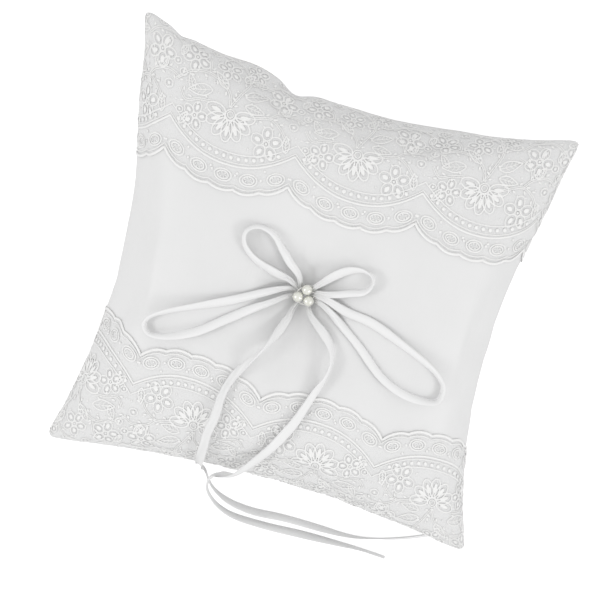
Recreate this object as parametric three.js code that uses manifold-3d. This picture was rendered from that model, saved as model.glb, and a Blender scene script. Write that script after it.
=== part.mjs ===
// Ring bearer pillow: a square satin case stuffed with fibre, pulled in at its middle by a tufting
// thread, with two scalloped lace bands on its face and a ribbon bow held under three pearls.
//
// Millimetres. The pillow lies on its back: +Z is up, +X is to the right and +Y is towards the
// upper lace band. The origin is on the table under the middle of the case.

import * as THREE from 'three';
import { mergeVertices } from 'three/addons/utils/BufferGeometryUtils.js';
import Module from 'manifold-3d';

const wasm = await Module();
wasm.setup();

// ---- Driving dimensions -------------------------------------------------------------------

// Case
const SIDE = 200; // seam corner to seam corner
const SIDE_PULL_IN = 12.5; // how far the middle of a seam draws in between its corners
const LOWER_PULL_IN = 7; // the same for the lower seam, which was closed by hand with less tension
const SEAM_HEIGHT = 30; // height of the seam above the table
const FRONT_RISE = 37; // crown of the front panel above the seam
const BACK_DROP = 36; // depth that the back panel would hang below the seam with no table
const PANEL_THICKNESS = 0.8; // satin with its lining
const GRID = 20; // facets along each side of a panel

// Tufting at the middle
const TUFT_X = -4;
const TUFT_Y = 0;
const FRONT_TUFT_DEPTH = 18;
const FRONT_TUFT_RADIUS = 30;
const BACK_TUFT_DEPTH = 7;
const BACK_TUFT_RADIUS = 18;
const THREAD_DIAMETER = 1;
const THREAD_HOLE_CLEARANCE = 0.4; // from the thread to the side of its hole

// Lace
const LACE_THICKNESS = 0.5;
const LACE_REPEAT = 60; // from cusp to cusp of the scallops
const SCALLOP_DEPTH = 9;
const UPPER_CUSP_Y = 46;
const UPPER_FIRST_CUSP_X = -140;
const LOWER_CUSP_Y = -50;
const LOWER_FIRST_CUSP_X = -130;

// Ribbon
const RIBBON_WIDTH = 6;
const RIBBON_THICKNESS = 0.6;
const RIBBON_STEP = 5.5; // length of one straight facet

// Pearls
const PEARL_DIAMETER = 5;
const PEARL_HOLE = 1.3;
const PEARL_LIFT = 3.9; // from the bottom of the tuft to the underside of the pearls
const FIRST_PEARL_ANGLE = 82; // degrees from +X, about the tuft
const PEARL_THREAD_DIAMETER = 0.5;

// Sewing
const SEAM_THREAD_WIDTH = 0.5;
const SEAM_THREAD_INSET = 1.7; // from the seam's edge to the middle of the thread
const CLOSING_GAP = 60; // opening left for the filling, sewn up last

const GAP = 0.3; // between pieces that touch
const SEAM_GAP = SEAM_THREAD_WIDTH + 2 * GAP; // between the panels' edges, where the thread runs

// ---- Finishes -----------------------------------------------------------------------------

const finish = (color, roughness) => new THREE.MeshStandardMaterial({ color, roughness, metalness: 0 });
const satin = () => finish(0xe4e4e2, 0.42);
const lace = () => finish(0xecebe4, 0.85);
const ribbonSatin = () => finish(0xeeeeec, 0.32);
const pearlCoat = () => finish(0xe4e4d6, 0.22);
const fibre = () => finish(0xf4f4f4, 0.95);
const thread = () => finish(0xf0efea, 0.7);

// ---- Shape of the case --------------------------------------------------------------------

const HALF = SIDE / 2;

// u and v run from -1 to 1 across the case. The sides draw in between the corners.
function planX(u, v) {
  return u * (HALF - SIDE_PULL_IN * u * u * (1 - v * v));
}

function planY(u, v) {
  const pullIn = v < 0 ? LOWER_PULL_IN : SIDE_PULL_IN;
  return v * (HALF - pullIn * v * v * (1 - u * u));
}

function bulge(u, v) {
  return Math.sqrt((1 - u * u) * (1 - v * v));
}

function dimple(x, y, depth, radius) {
  const reach = Math.min(Math.hypot(x - TUFT_X, y - TUFT_Y) / radius, 1);
  return (depth * (1 + Math.cos(Math.PI * reach))) / 2;
}

function frontInside(u, v) {
  const x = planX(u, v);
  const y = planY(u, v);
  const crown = FRONT_RISE * bulge(u, v);
  return SEAM_HEIGHT + SEAM_GAP / 2 + crown - dimple(x, y, FRONT_TUFT_DEPTH, FRONT_TUFT_RADIUS);
}

function frontOutside(u, v) {
  return frontInside(u, v) + PANEL_THICKNESS;
}

function backOutside(u, v) {
  const hang = SEAM_HEIGHT - SEAM_GAP / 2 - PANEL_THICKNESS - BACK_DROP * bulge(u, v);
  return Math.max(hang, 0) + dimple(planX(u, v), planY(u, v), BACK_TUFT_DEPTH, BACK_TUFT_RADIUS);
}

function backInside(u, v) {
  return backOutside(u, v) + PANEL_THICKNESS;
}

function gridLine(share, tuft) {
  const even = THREE.MathUtils.clamp(share, -1, 1);
  return even + (tuft / HALF) * (1 - even * even);
}

// A closed slab between two heights over the middle of the case. Every slab is on the same grid,
// whose middle lines cross at the tuft.
function slab(low, high, rowsLeftOut) {
  const cells = GRID - 2 * rowsLeftOut;
  const span = (2 * cells) / GRID;
  const geometry = new THREE.BoxGeometry(span, span, 1, cells, cells, 1);
  const place = geometry.attributes.position;
  for (let i = 0; i < place.count; i++) {
    const u = gridLine(place.getX(i), TUFT_X);
    const v = gridLine(place.getY(i), TUFT_Y);
    const height = place.getZ(i) > 0 ? high(u, v) : low(u, v);
    place.setXYZ(i, planX(u, v), planY(u, v), height);
  }
  nest(geometry);
  return geometry;
}

// Splits the squares of a box's underside along the same diagonal as its top, so that one curved
// slab lies on another with an even gap.
function nest(geometry) {
  const corners = geometry.index;
  const underside = geometry.groups[5];
  for (let k = underside.start; k < underside.start + underside.count; k += 6) {
    const first = corners.getX(k);
    const opposite = corners.getX(k + 4);
    const last = corners.getX(k + 5);
    corners.setX(k + 2, opposite);
    corners.setX(k + 3, first);
    corners.setX(k + 4, opposite);
    corners.setX(k + 5, last);
  }
}

// ---- Booleans -----------------------------------------------------------------------------

function toSolid(geometry) {
  const bare = new THREE.BufferGeometry();
  bare.setAttribute('position', geometry.attributes.position.clone());
  if (geometry.index) bare.setIndex(geometry.index.clone());
  const merged = mergeVertices(bare, 1e-4);
  const vertProperties = new Float32Array(merged.attributes.position.array);
  const triVerts = new Uint32Array(merged.index.array);
  return new wasm.Manifold(new wasm.Mesh({ numProp: 3, vertProperties, triVerts }));
}

function toGeometry(solid) {
  const cut = solid.getMesh();
  const geometry = new THREE.BufferGeometry();
  geometry.setAttribute('position', new THREE.BufferAttribute(cut.vertProperties, 3));
  geometry.setIndex(new THREE.BufferAttribute(cut.triVerts, 1));
  geometry.computeVertexNormals();
  return geometry;
}

// An upright hole at the tuft for the tufting thread.
function drilled(geometry) {
  const radius = THREAD_DIAMETER / 2 + THREAD_HOLE_CLEARANCE;
  const tool = new THREE.CylinderGeometry(radius, radius, 4 * HALF, 10);
  tool.rotateX(Math.PI / 2);
  tool.translate(TUFT_X, TUFT_Y, 0);
  return toGeometry(toSolid(geometry).subtract(toSolid(tool)));
}

// ---- Pieces of the case -------------------------------------------------------------------

function frontPanel() {
  return drilled(slab(frontInside, frontOutside, 0));
}

function backPanel() {
  return drilled(slab(backOutside, backInside, 0));
}

function fibreFilling() {
  const low = (u, v) => backInside(u, v) + GAP;
  const high = (u, v) => frontInside(u, v) - GAP;
  return drilled(slab(low, high, 1));
}

// The seam's edge as seen from above, drawn in by an inset, from one distance round it to another.
// Both distances run anticlockwise as shares of the whole way round, from the lower left corner.
function seamPoint(share, inset) {
  const along = (((share % 1) + 1) % 1) * 4;
  const edge = 2 * (along % 1) - 1;
  const corners = [[edge, -1], [1, edge], [-edge, 1], [-1, -edge]];
  const [u, v] = corners[Math.floor(along)];
  const shrink = 1 - inset / HALF;
  return new THREE.Vector2(planX(u, v) * shrink, planY(u, v) * shrink);
}

function seamStrip(from, to, steps) {
  const inner = [];
  const outer = [];
  for (let i = 0; i <= steps; i++) {
    const share = from + ((to - from) * i) / steps;
    outer.push(seamPoint(share, SEAM_THREAD_INSET - SEAM_THREAD_WIDTH / 2));
    inner.push(seamPoint(share, SEAM_THREAD_INSET + SEAM_THREAD_WIDTH / 2));
  }
  const outline = new THREE.Shape([...outer, ...inner.reverse()]);
  const strip = new THREE.ExtrudeGeometry(outline, { depth: SEAM_THREAD_WIDTH, bevelEnabled: false });
  strip.translate(0, 0, SEAM_HEIGHT - SEAM_THREAD_WIDTH / 2);
  return strip;
}

const closingShare = CLOSING_GAP / SIDE / 8; // half the opening, as a share of the way round
const lowerMiddle = 1 / 8;
const stitchEnd = GAP / SIDE / 4;

function seamThread() {
  return seamStrip(lowerMiddle + closingShare + stitchEnd, lowerMiddle + 1 - closingShare - stitchEnd, 76);
}

function closingStitch() {
  return seamStrip(lowerMiddle - closingShare, lowerMiddle + closingShare, 8);
}

// ---- Lace ---------------------------------------------------------------------------------

// A band of lace on the front panel, from beyond the seam to a scalloped edge that faces the middle.
function laceBand(cuspY, firstCuspX) {
  const outwards = Math.sign(cuspY);
  const beyond = 2 * HALF * outwards;
  const outline = new THREE.Shape();
  outline.moveTo(firstCuspX, beyond);
  outline.lineTo(firstCuspX, cuspY);
  let x = firstCuspX;
  while (x < SIDE) {
    const tip = cuspY - 2 * SCALLOP_DEPTH * outwards;
    outline.quadraticCurveTo(x + LACE_REPEAT / 2, tip, x + LACE_REPEAT, cuspY);
    x += LACE_REPEAT;
  }
  outline.lineTo(x, beyond);
  const prism = new THREE.ExtrudeGeometry(outline, { depth: 4 * HALF, bevelEnabled: false, curveSegments: 6 });
  prism.translate(0, 0, -HALF);
  const low = (u, v) => frontOutside(u, v) + GAP;
  const high = (u, v) => low(u, v) + LACE_THICKNESS;
  return toGeometry(toSolid(slab(low, high, 0)).intersect(toSolid(prism)));
}

// ---- Ribbons ------------------------------------------------------------------------------

// Each point of a route is x, y, z and lean. Lean turns the ribbon about its own length: at 0 it
// lies face up, and at 90 it stands on its edge with its face to the left of the way it runs.
const ROUTES = {
  short_loop_left: [
    [-12.5, 5.5, 60.5, 20],
    [-20.5, 8, 67, 30],
    [-30, 12, 69.5, 50],
    [-36.5, 17.5, 69.5, 70],
    [-37.5, 23.5, 69, 90],
    [-32.5, 27, 69.5, 90],
    [-25.5, 25.5, 70, 70],
    [-20, 20, 70, 50],
    [-14.5, 14, 67, 30],
    [-9, 9, 62, 20],
  ],
  short_loop_right: [
    [1.5, 7.5, 60.5, 0],
    [6.5, 13.5, 65.5, 0],
    [12, 18, 69.5, -20],
    [18, 20.5, 71, -60],
    [23, 19.5, 71, -90],
    [25, 15, 71, -90],
    [22, 10.5, 70.5, -60],
    [15, 7.5, 68.5, -20],
    [7.5, 4.5, 63, 0],
  ],
  long_loop_left: [
    [-12, 1.5, 57.5, 0],
    [-21, -2, 64.5, 0],
    [-35, -8.5, 68.5, 20],
    [-49, -14.5, 66.5, 40],
    [-60, -19.5, 64.5, 60],
    [-69, -25, 61, 80],
    [-72, -30, 59.5, 90],
    [-68.5, -34.5, 60.5, 90],
    [-60, -33, 63.5, 60],
    [-48, -27, 66, 40],
    [-38, -19.5, 67.5, 20],
    [-27, -11.5, 67, 10],
    [-18.5, -6.5, 63, 0],
    [-12, -2.8, 57.5, 0],
  ],
  long_loop_right: [
    [5.5, 1.5, 60.5, 0],
    [16, -1, 66.5, 0],
    [28, -2.5, 69, -10],
    [40, -6.5, 68, -20],
    [52, -11.5, 66.5, -40],
    [63, -17.5, 63.5, -70],
    [68.5, -24, 61, -90],
    [67.5, -31, 61, -90],
    [60, -32, 63.5, -60],
    [50, -30.5, 65.5, -40],
    [39, -25.5, 67, -20],
    [25.5, -14.5, 68.5, -10],
    [13, -6, 65.5, 0],
    [5.5, -1.8, 59.3, 0],
  ],
  tail_left: [
    [-7.5, -7.5, 57, 0],
    [-8.5, -11, 60, 0],
    [-11.5, -18, 66, 20],
    [-16, -25, 70, 80],
    [-21, -33, 70, 110],
    [-26, -42, 66, 170],
    [-29, -52, 65, 180],
    [-29.5, -63, 62.5, 178],
    [-31, -73, 59, 172],
    [-31, -82, 55, 163],
    [-31, -89.5, 49, 152],
    [-30.7, -95, 39.5, 142],
    [-30.3, -98, 27.5, 132],
    [-29, -100.5, 17, 117],
    [-26.5, -104.5, 8.5, 98],
    [-23.9, -108.7, 4.6, 90],
    [-20, -113, 3.8, 88],
    [-11.6, -117.4, 3.4, 72],
    [1.2, -119.6, 3.1, 62],
    [17.8, -119, 3.1, 60],
    [35, -119.4, 3.1, 66],
    [46, -119.6, 3.3, 78],
    [54.6, -119.2, 3.4, 92],
    [64, -117.6, 3.3, 106],
    [76.2, -114.2, 3.1, 116],
    [87.7, -109.6, 3.1, 118],
    [96, -105.6, 3.1, 118],
    [102, -102, 3.1, 118],
  ],
  tail_right: [
    [1, -8, 59, 0],
    [7.5, -12.5, 65, 0],
    [12.5, -17, 69, 40],
    [14.5, -23, 71, 90],
    [14, -31, 70.5, 90],
    [11.5, -40, 67.5, 30],
    [9, -48, 66, 0],
    [6.5, -56, 64.5, 0],
    [3, -64, 62, 0],
    [-0.5, -71, 59.5, 3],
    [-5, -79, 56.5, 8],
    [-10, -87, 51.5, 18],
    [-14, -93.5, 43.5, 32],
    [-17, -97.5, 32, 47],
    [-19.5, -100.5, 22.5, 62],
    [-22, -103, 16.5, 76],
    [-23.8, -106.4, 13.2, 86],
    [-24, -110.5, 11, 90],
    [-21.8, -115.4, 7.8, 90],
    [-15.8, -120.8, 4.5, 80],
    [-6.1, -124.3, 3.3, 68],
    [11, -125.2, 3.1, 60],
    [27.6, -124.8, 3.1, 60],
    [44.7, -124.6, 3.3, 72],
    [57.3, -124.6, 3.4, 88],
    [70.7, -125.6, 3.5, 92],
  ],
};

// A flat strip of ribbon along a route, square across its ends.
function ribbon(route) {
  const curve = new THREE.CatmullRomCurve3(route.map(([x, y, z]) => new THREE.Vector3(x, y, z)));
  const steps = Math.round(curve.getLength() / RIBBON_STEP);
  const geometry = new THREE.BoxGeometry(1, RIBBON_WIDTH, RIBBON_THICKNESS, steps, 1, 1);
  const place = geometry.attributes.position;
  const point = new THREE.Vector3();
  const above = new THREE.Vector3(0, 0, 1);
  for (let i = 0; i < place.count; i++) {
    const share = THREE.MathUtils.clamp(place.getX(i) + 0.5, 0, 1);
    const along = curve.getUtoTmapping(share) * (route.length - 1);
    const before = Math.min(Math.floor(along), route.length - 2);
    const lean = THREE.MathUtils.lerp(route[before][3], route[before + 1][3], along - before);
    const run = curve.getTangentAt(share);
    const side = new THREE.Vector3().crossVectors(above, run).normalize();
    const face = new THREE.Vector3().crossVectors(run, side);
    side.applyAxisAngle(run, THREE.MathUtils.degToRad(-lean));
    face.applyAxisAngle(run, THREE.MathUtils.degToRad(-lean));
    curve.getPointAt(share, point);
    point.addScaledVector(side, place.getY(i));
    point.addScaledVector(face, place.getZ(i));
    place.setXYZ(i, point.x, point.y, point.z);
  }
  return geometry;
}

// ---- Pearls and threads -------------------------------------------------------------------

const tuftUV = [TUFT_X / HALF, TUFT_Y / HALF];
const tuftBottom = frontOutside(...tuftUV);
const pearlHeight = tuftBottom + PEARL_LIFT + PEARL_DIAMETER / 2;
const clusterRadius = (PEARL_DIAMETER + GAP) / Math.sqrt(3);

function pearlAngle(index) {
  return THREE.MathUtils.degToRad(FIRST_PEARL_ANGLE + 120 * index);
}

// A bead turned about the Z axis, with its thread hole along that axis.
function pearl() {
  const radius = PEARL_DIAMETER / 2;
  const start = Math.asin(PEARL_HOLE / PEARL_DIAMETER);
  const steps = 10;
  const profile = [];
  for (let i = 0; i <= steps; i++) {
    const angle = start + ((Math.PI - 2 * start) * i) / steps;
    profile.push(new THREE.Vector2(radius * Math.sin(angle), -radius * Math.cos(angle)));
  }
  profile.push(profile[0].clone());
  const bead = new THREE.LatheGeometry(profile, 18);
  return bead;
}

// Turns a bead's hole along the ring of pearls and sets it in its place.
function placePearl(mesh, index) {
  const angle = pearlAngle(index);
  mesh.rotation.z = angle;
  mesh.position.set(
    TUFT_X + clusterRadius * Math.cos(angle),
    TUFT_Y + clusterRadius * Math.sin(angle),
    pearlHeight,
  );
}

function tube(points, diameter, sides, steps) {
  const path = new THREE.CatmullRomCurve3(points, false, 'centripetal');
  const section = new THREE.Shape();
  section.absarc(0, 0, diameter / 2, 0, 2 * Math.PI);
  return new THREE.ExtrudeGeometry(section, { steps, extrudePath: path, curveSegments: sides / 2 });
}

// The thread that strings the pearls: up beside the first, through all three and down again.
function pearlThread() {
  const points = [];
  const half = PEARL_DIAMETER / 2;
  const turn = half + 0.9;
  const below = pearlHeight - PEARL_DIAMETER / 2 - GAP;
  const spot = (index, along, z) => {
    const angle = pearlAngle(index);
    return new THREE.Vector3(
      TUFT_X + clusterRadius * Math.cos(angle) - along * Math.sin(angle),
      TUFT_Y + clusterRadius * Math.sin(angle) + along * Math.cos(angle),
      z,
    );
  };
  points.push(spot(0, -turn - 0.4, below));
  points.push(spot(0, -turn - 0.2, pearlHeight - 1.2));
  for (let index = 0; index < 3; index++) {
    points.push(spot(index, -half - 0.1, pearlHeight));
    points.push(spot(index, -half / 2, pearlHeight));
    points.push(spot(index, 0, pearlHeight));
    points.push(spot(index, half / 2, pearlHeight));
    points.push(spot(index, half + 0.1, pearlHeight));
  }
  points.push(spot(2, turn + 0.2, pearlHeight - 1.2));
  points.push(spot(2, turn + 0.4, below));
  return tube(points, PEARL_THREAD_DIAMETER, 6, 60);
}

const backTuftTop = backInside(...tuftUV);
const knotRadius = 1.8;

function tuftingThread() {
  const bottom = backTuftTop - PANEL_THICKNESS - GAP;
  const top = tuftBottom + 1;
  const strand = new THREE.CylinderGeometry(THREAD_DIAMETER / 2, THREAD_DIAMETER / 2, top - bottom, 8);
  strand.rotateX(Math.PI / 2);
  strand.translate(TUFT_X, TUFT_Y, (top + bottom) / 2);
  return strand;
}

function anchorKnot() {
  const knot = new THREE.SphereGeometry(knotRadius, 12, 8);
  knot.scale(1.3, 1, 0.8);
  knot.translate(TUFT_X, TUFT_Y, backTuftTop - PANEL_THICKNESS - 2 * GAP - 0.8 * knotRadius);
  return knot;
}

// ---- Assembly -----------------------------------------------------------------------------

const pillow = new THREE.Group();

function add(name, geometry, material) {
  const mesh = new THREE.Mesh(geometry, material);
  mesh.name = name;
  pillow.add(mesh);
  return mesh;
}

add('front_panel', frontPanel(), satin());
add('back_panel', backPanel(), satin());
add('fibre_filling', fibreFilling(), fibre());
add('seam_thread', seamThread(), thread());
add('closing_stitch', closingStitch(), thread());
add('lace_band_upper', laceBand(UPPER_CUSP_Y, UPPER_FIRST_CUSP_X), lace());
add('lace_band_lower', laceBand(LOWER_CUSP_Y, LOWER_FIRST_CUSP_X), lace());
for (const [name, route] of Object.entries(ROUTES)) {
  add(name, ribbon(route), ribbonSatin());
}
['pearl_top', 'pearl_left', 'pearl_right'].forEach((name, index) => {
  placePearl(add(name, pearl(), pearlCoat()), index);
});
add('pearl_thread', pearlThread(), thread());
add('tufting_thread', tuftingThread(), thread());
add('anchor_knot', anchorKnot(), thread());

export default pillow;
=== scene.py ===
# %% [markdown]
# # Ring bearer pillow
#
# A square satin cushion with two scalloped lace bands, a bow of narrow satin ribbon sewn into a
# tuft under three pearls, and two ribbon tails that the rings are tied to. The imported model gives
# the sizes; this notebook makes the cloth, lace, ribbon and thread around them, in metres, with
# the pillow lying on its back on z = 0.

import math

import bmesh
import bpy
import numpy as np
from mathutils import Matrix, Vector
from mathutils.bvhtree import BVHTree


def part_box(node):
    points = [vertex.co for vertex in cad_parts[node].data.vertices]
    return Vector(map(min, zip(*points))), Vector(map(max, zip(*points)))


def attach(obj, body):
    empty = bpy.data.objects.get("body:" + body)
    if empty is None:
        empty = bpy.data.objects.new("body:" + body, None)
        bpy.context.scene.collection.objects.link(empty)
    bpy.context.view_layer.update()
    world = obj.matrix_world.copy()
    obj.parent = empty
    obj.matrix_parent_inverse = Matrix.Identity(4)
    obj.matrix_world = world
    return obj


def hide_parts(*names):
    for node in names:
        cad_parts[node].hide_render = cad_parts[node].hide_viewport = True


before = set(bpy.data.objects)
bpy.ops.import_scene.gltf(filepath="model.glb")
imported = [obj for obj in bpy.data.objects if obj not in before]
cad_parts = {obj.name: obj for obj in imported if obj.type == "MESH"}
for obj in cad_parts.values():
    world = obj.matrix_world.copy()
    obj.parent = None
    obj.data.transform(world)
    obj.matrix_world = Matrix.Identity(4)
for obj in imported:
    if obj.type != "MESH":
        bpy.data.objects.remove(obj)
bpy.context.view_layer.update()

# %% [markdown]
# ## Sizes
#
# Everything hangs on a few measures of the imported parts: the half width of the case, the height
# of its seam, and where the tufting thread pulls the front and the back together. They are read
# from the parts' boxes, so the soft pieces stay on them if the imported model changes.

# %% Read the sizes
MM = 0.001
panel_low, panel_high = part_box("front_panel")
seam_low, seam_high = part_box("seam_thread")
tuft_low, tuft_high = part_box("tufting_thread")
HALF = (panel_high.x - panel_low.x) / 2
SEAM_Z = (seam_low.z + seam_high.z) / 2
TUFT_X = (tuft_low.x + tuft_high.x) / 2
TUFT_Y = (tuft_low.y + tuft_high.y) / 2
TUFT_FRONT_Z = tuft_high.z - 1.47 * MM
TUFT_BACK_Z = tuft_low.z + 0.3 * MM
RISE = panel_high.z - SEAM_Z - 0.4 * MM
DROP = SEAM_Z + 3.5 * MM
RIBBON_WIDTH = 6 * MM
print(f"half width {HALF:.4f}, seam at {SEAM_Z:.4f}, tuft {TUFT_FRONT_Z:.4f} over {TUFT_BACK_Z:.4f}")

# %% [markdown]
# ## Camera
#
# The pillow is looked down on with a long lens, from a little beyond straight overhead, and
# turned by fifteen degrees. The camera is placed by its azimuth and elevation about a point in
# the pillow, then slid a few millimetres so that the bow sits close to the middle of the view.

# %% Place the camera
AZIMUTH = math.radians(15)
ELEVATION = math.radians(100)
DISTANCE = 1.0
backward = Vector(
    (
        math.sin(AZIMUTH) * math.cos(ELEVATION),
        -math.cos(AZIMUTH) * math.cos(ELEVATION),
        math.sin(ELEVATION),
    )
)
upward = Vector(
    (
        -math.sin(AZIMUTH) * math.sin(ELEVATION),
        math.cos(AZIMUTH) * math.sin(ELEVATION),
        math.cos(ELEVATION),
    )
)
rightward = upward.cross(backward)
aim = Vector((0, 0, SEAM_Z)) - 5.9 * MM * rightward - 5.5 * MM * upward

lens = bpy.data.cameras.new("camera")
lens.lens = 127.5
lens.sensor_width = 36
camera = bpy.data.objects.new("camera", lens)
bpy.context.scene.collection.objects.link(camera)
turn = Matrix((rightward, upward, backward)).transposed().to_4x4()
camera.matrix_world = Matrix.Translation(aim + DISTANCE * backward) @ turn
bpy.context.scene.camera = camera
print("camera at", [round(value, 3) for value in camera.matrix_world.translation])

# %% [markdown]
# ## Ribbon routes
#
# The bow is six lengths of limp ribbon. Each route lists the middle of the ribbon in metres and
# its lean in degrees: 0 lies face up, 90 stands on edge with its face to the left of the way it
# runs, 180 lies face down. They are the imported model's own routes, so the ribbons run where its
# ribbon parts run.

# %% List the routes
ROUTES = {
    "short_loop_left": [
        (-0.0125, 0.0055, 0.0605, 20), (-0.0205, 0.008, 0.067, 30), (-0.03, 0.012, 0.0695, 50),
        (-0.0365, 0.0175, 0.0695, 70), (-0.0375, 0.0235, 0.069, 90), (-0.0325, 0.027, 0.0695, 90),
        (-0.0255, 0.0255, 0.07, 70), (-0.02, 0.02, 0.07, 50), (-0.0145, 0.014, 0.067, 30),
        (-0.009, 0.009, 0.062, 20),
    ],
    "short_loop_right": [
        (0.0015, 0.0075, 0.0605, 0), (0.0065, 0.0135, 0.0655, 0), (0.012, 0.018, 0.0695, -20),
        (0.018, 0.0205, 0.071, -60), (0.023, 0.0195, 0.071, -90), (0.025, 0.015, 0.071, -90),
        (0.022, 0.0105, 0.0705, -60), (0.015, 0.0075, 0.0685, -20), (0.0075, 0.0045, 0.063, 0),
    ],
    "long_loop_left": [
        (-0.012, 0.0015, 0.0575, 0), (-0.021, -0.002, 0.0645, 0), (-0.035, -0.0085, 0.0685, 20),
        (-0.049, -0.0145, 0.0665, 40), (-0.06, -0.0195, 0.0645, 60), (-0.069, -0.025, 0.061, 80),
        (-0.072, -0.03, 0.0595, 90), (-0.0685, -0.0345, 0.0605, 90), (-0.06, -0.033, 0.0635, 60),
        (-0.048, -0.027, 0.066, 40), (-0.038, -0.0195, 0.0675, 20), (-0.027, -0.0115, 0.067, 10),
        (-0.0185, -0.0065, 0.063, 0), (-0.012, -0.0028, 0.0575, 0),
    ],
    "long_loop_right": [
        (0.0055, 0.0015, 0.0605, 0), (0.016, -0.001, 0.0665, 0), (0.028, -0.0025, 0.069, -10),
        (0.04, -0.0065, 0.068, -20), (0.052, -0.0115, 0.0665, -40), (0.063, -0.0175, 0.0635, -70),
        (0.0685, -0.024, 0.061, -90), (0.0675, -0.031, 0.061, -90), (0.06, -0.032, 0.0635, -60),
        (0.05, -0.0305, 0.0655, -40), (0.039, -0.0255, 0.067, -20), (0.0255, -0.0145, 0.0685, -10),
        (0.013, -0.006, 0.0655, 0), (0.0055, -0.0018, 0.0593, 0),
    ],
    "tail_left": [
        (-0.0075, -0.0075, 0.057, 0), (-0.0085, -0.011, 0.06, 0), (-0.0115, -0.018, 0.066, 20),
        (-0.016, -0.025, 0.07, 80), (-0.021, -0.033, 0.07, 110), (-0.026, -0.042, 0.066, 170),
        (-0.029, -0.052, 0.065, 180), (-0.0295, -0.063, 0.0625, 178), (-0.031, -0.073, 0.059, 172),
        (-0.031, -0.082, 0.055, 163), (-0.031, -0.0895, 0.049, 152),
        (-0.0307, -0.095, 0.0395, 142), (-0.0303, -0.098, 0.0275, 132),
        (-0.029, -0.1005, 0.017, 117), (-0.0265, -0.1045, 0.0085, 98),
        (-0.0239, -0.1087, 0.0046, 90), (-0.02, -0.113, 0.0038, 88),
        (-0.0116, -0.1174, 0.0034, 72), (0.0012, -0.1196, 0.0031, 62),
        (0.0178, -0.119, 0.0031, 60), (0.035, -0.1194, 0.0031, 66), (0.046, -0.1196, 0.0033, 78),
        (0.0546, -0.1192, 0.0034, 92), (0.064, -0.1176, 0.0033, 106),
        (0.0762, -0.1142, 0.0031, 116), (0.0877, -0.1096, 0.0031, 118),
        (0.096, -0.1056, 0.0031, 118), (0.102, -0.102, 0.0031, 118),
    ],
    "tail_right": [
        (0.001, -0.008, 0.059, 0), (0.0075, -0.0125, 0.065, 0), (0.0125, -0.017, 0.069, 40),
        (0.0145, -0.023, 0.071, 90), (0.014, -0.031, 0.0705, 90), (0.0115, -0.04, 0.0675, 30),
        (0.009, -0.048, 0.066, 0), (0.0065, -0.056, 0.0645, 0), (0.003, -0.064, 0.062, 0),
        (-0.0005, -0.071, 0.0595, 3), (-0.005, -0.079, 0.0565, 8), (-0.01, -0.087, 0.0515, 18),
        (-0.014, -0.0935, 0.0435, 32), (-0.017, -0.0975, 0.032, 47),
        (-0.0195, -0.1005, 0.0225, 62), (-0.022, -0.103, 0.0165, 76),
        (-0.0238, -0.1064, 0.0132, 86), (-0.024, -0.1105, 0.011, 90),
        (-0.0218, -0.1154, 0.0078, 90), (-0.0158, -0.1208, 0.0045, 80),
        (-0.0061, -0.1243, 0.0033, 68), (0.011, -0.1252, 0.0031, 60),
        (0.0276, -0.1248, 0.0031, 60), (0.0447, -0.1246, 0.0033, 72),
        (0.0573, -0.1246, 0.0034, 88), (0.0707, -0.1256, 0.0035, 92),
    ],
}
print(len(ROUTES), "ribbons with", sum(len(route) for route in ROUTES.values()), "points")

# %% [markdown]
# ## Helpers for curves, meshes and finished pieces
#
# A smooth line through a few points, a tube along such a line, and a short way to turn a bmesh
# into a named piece that rides on the pillow's one body. Points carry a "cloth" attribute: where
# they lie on the flat cloth, ribbon or thread, in metres, which the materials use for the weave.


# %% Define the helpers
def through(points, step):
    """A smooth line through points, at about this step."""
    points = np.array(points, float)
    before = 2 * points[:1] - points[1:2]
    beyond = 2 * points[-1:] - points[-2:-1]
    knots = np.vstack([before, points, beyond])
    line = []
    for a, b, c, d in zip(knots, knots[1:], knots[2:], knots[3:]):
        count = max(1, round(float(np.linalg.norm((c - b)[:3])) / step))
        for t in np.arange(count) / count:
            line.append(
                0.5
                * (
                    2 * b
                    + (c - a) * t
                    + (2 * a - 5 * b + 4 * c - d) * t**2
                    + (3 * b - a - 3 * c + d) * t**3
                )
            )
    line.append(knots[-2])
    return np.array(line)


def unit(vectors):
    """The same vectors, one long."""
    return vectors / np.maximum(np.linalg.norm(vectors, axis=-1, keepdims=True), 1e-12)


def smooth_step(value, low, high):
    """0 below low, 1 above high and an even turn between."""
    share = np.clip((value - low) / (high - low), 0, 1)
    return share * share * (3 - 2 * share)


def cloth_layer(bm):
    """The attribute that says where a point lies on its flat cloth."""
    return bm.verts.layers.float_vector.get("cloth") or bm.verts.layers.float_vector.new("cloth")


def strip(bm, rows, columns):
    """A new grid in bm: its vertices, and each one's row and column."""
    cloth_layer(bm)
    made = bmesh.ops.create_grid(bm, x_segments=rows - 1, y_segments=columns - 1, size=1)
    spots = []
    for vertex in made["verts"]:
        row = round((vertex.co.x + 1) / 2 * (rows - 1))
        column = round((vertex.co.y + 1) / 2 * (columns - 1))
        spots.append((vertex, row, column))
    return spots


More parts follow.
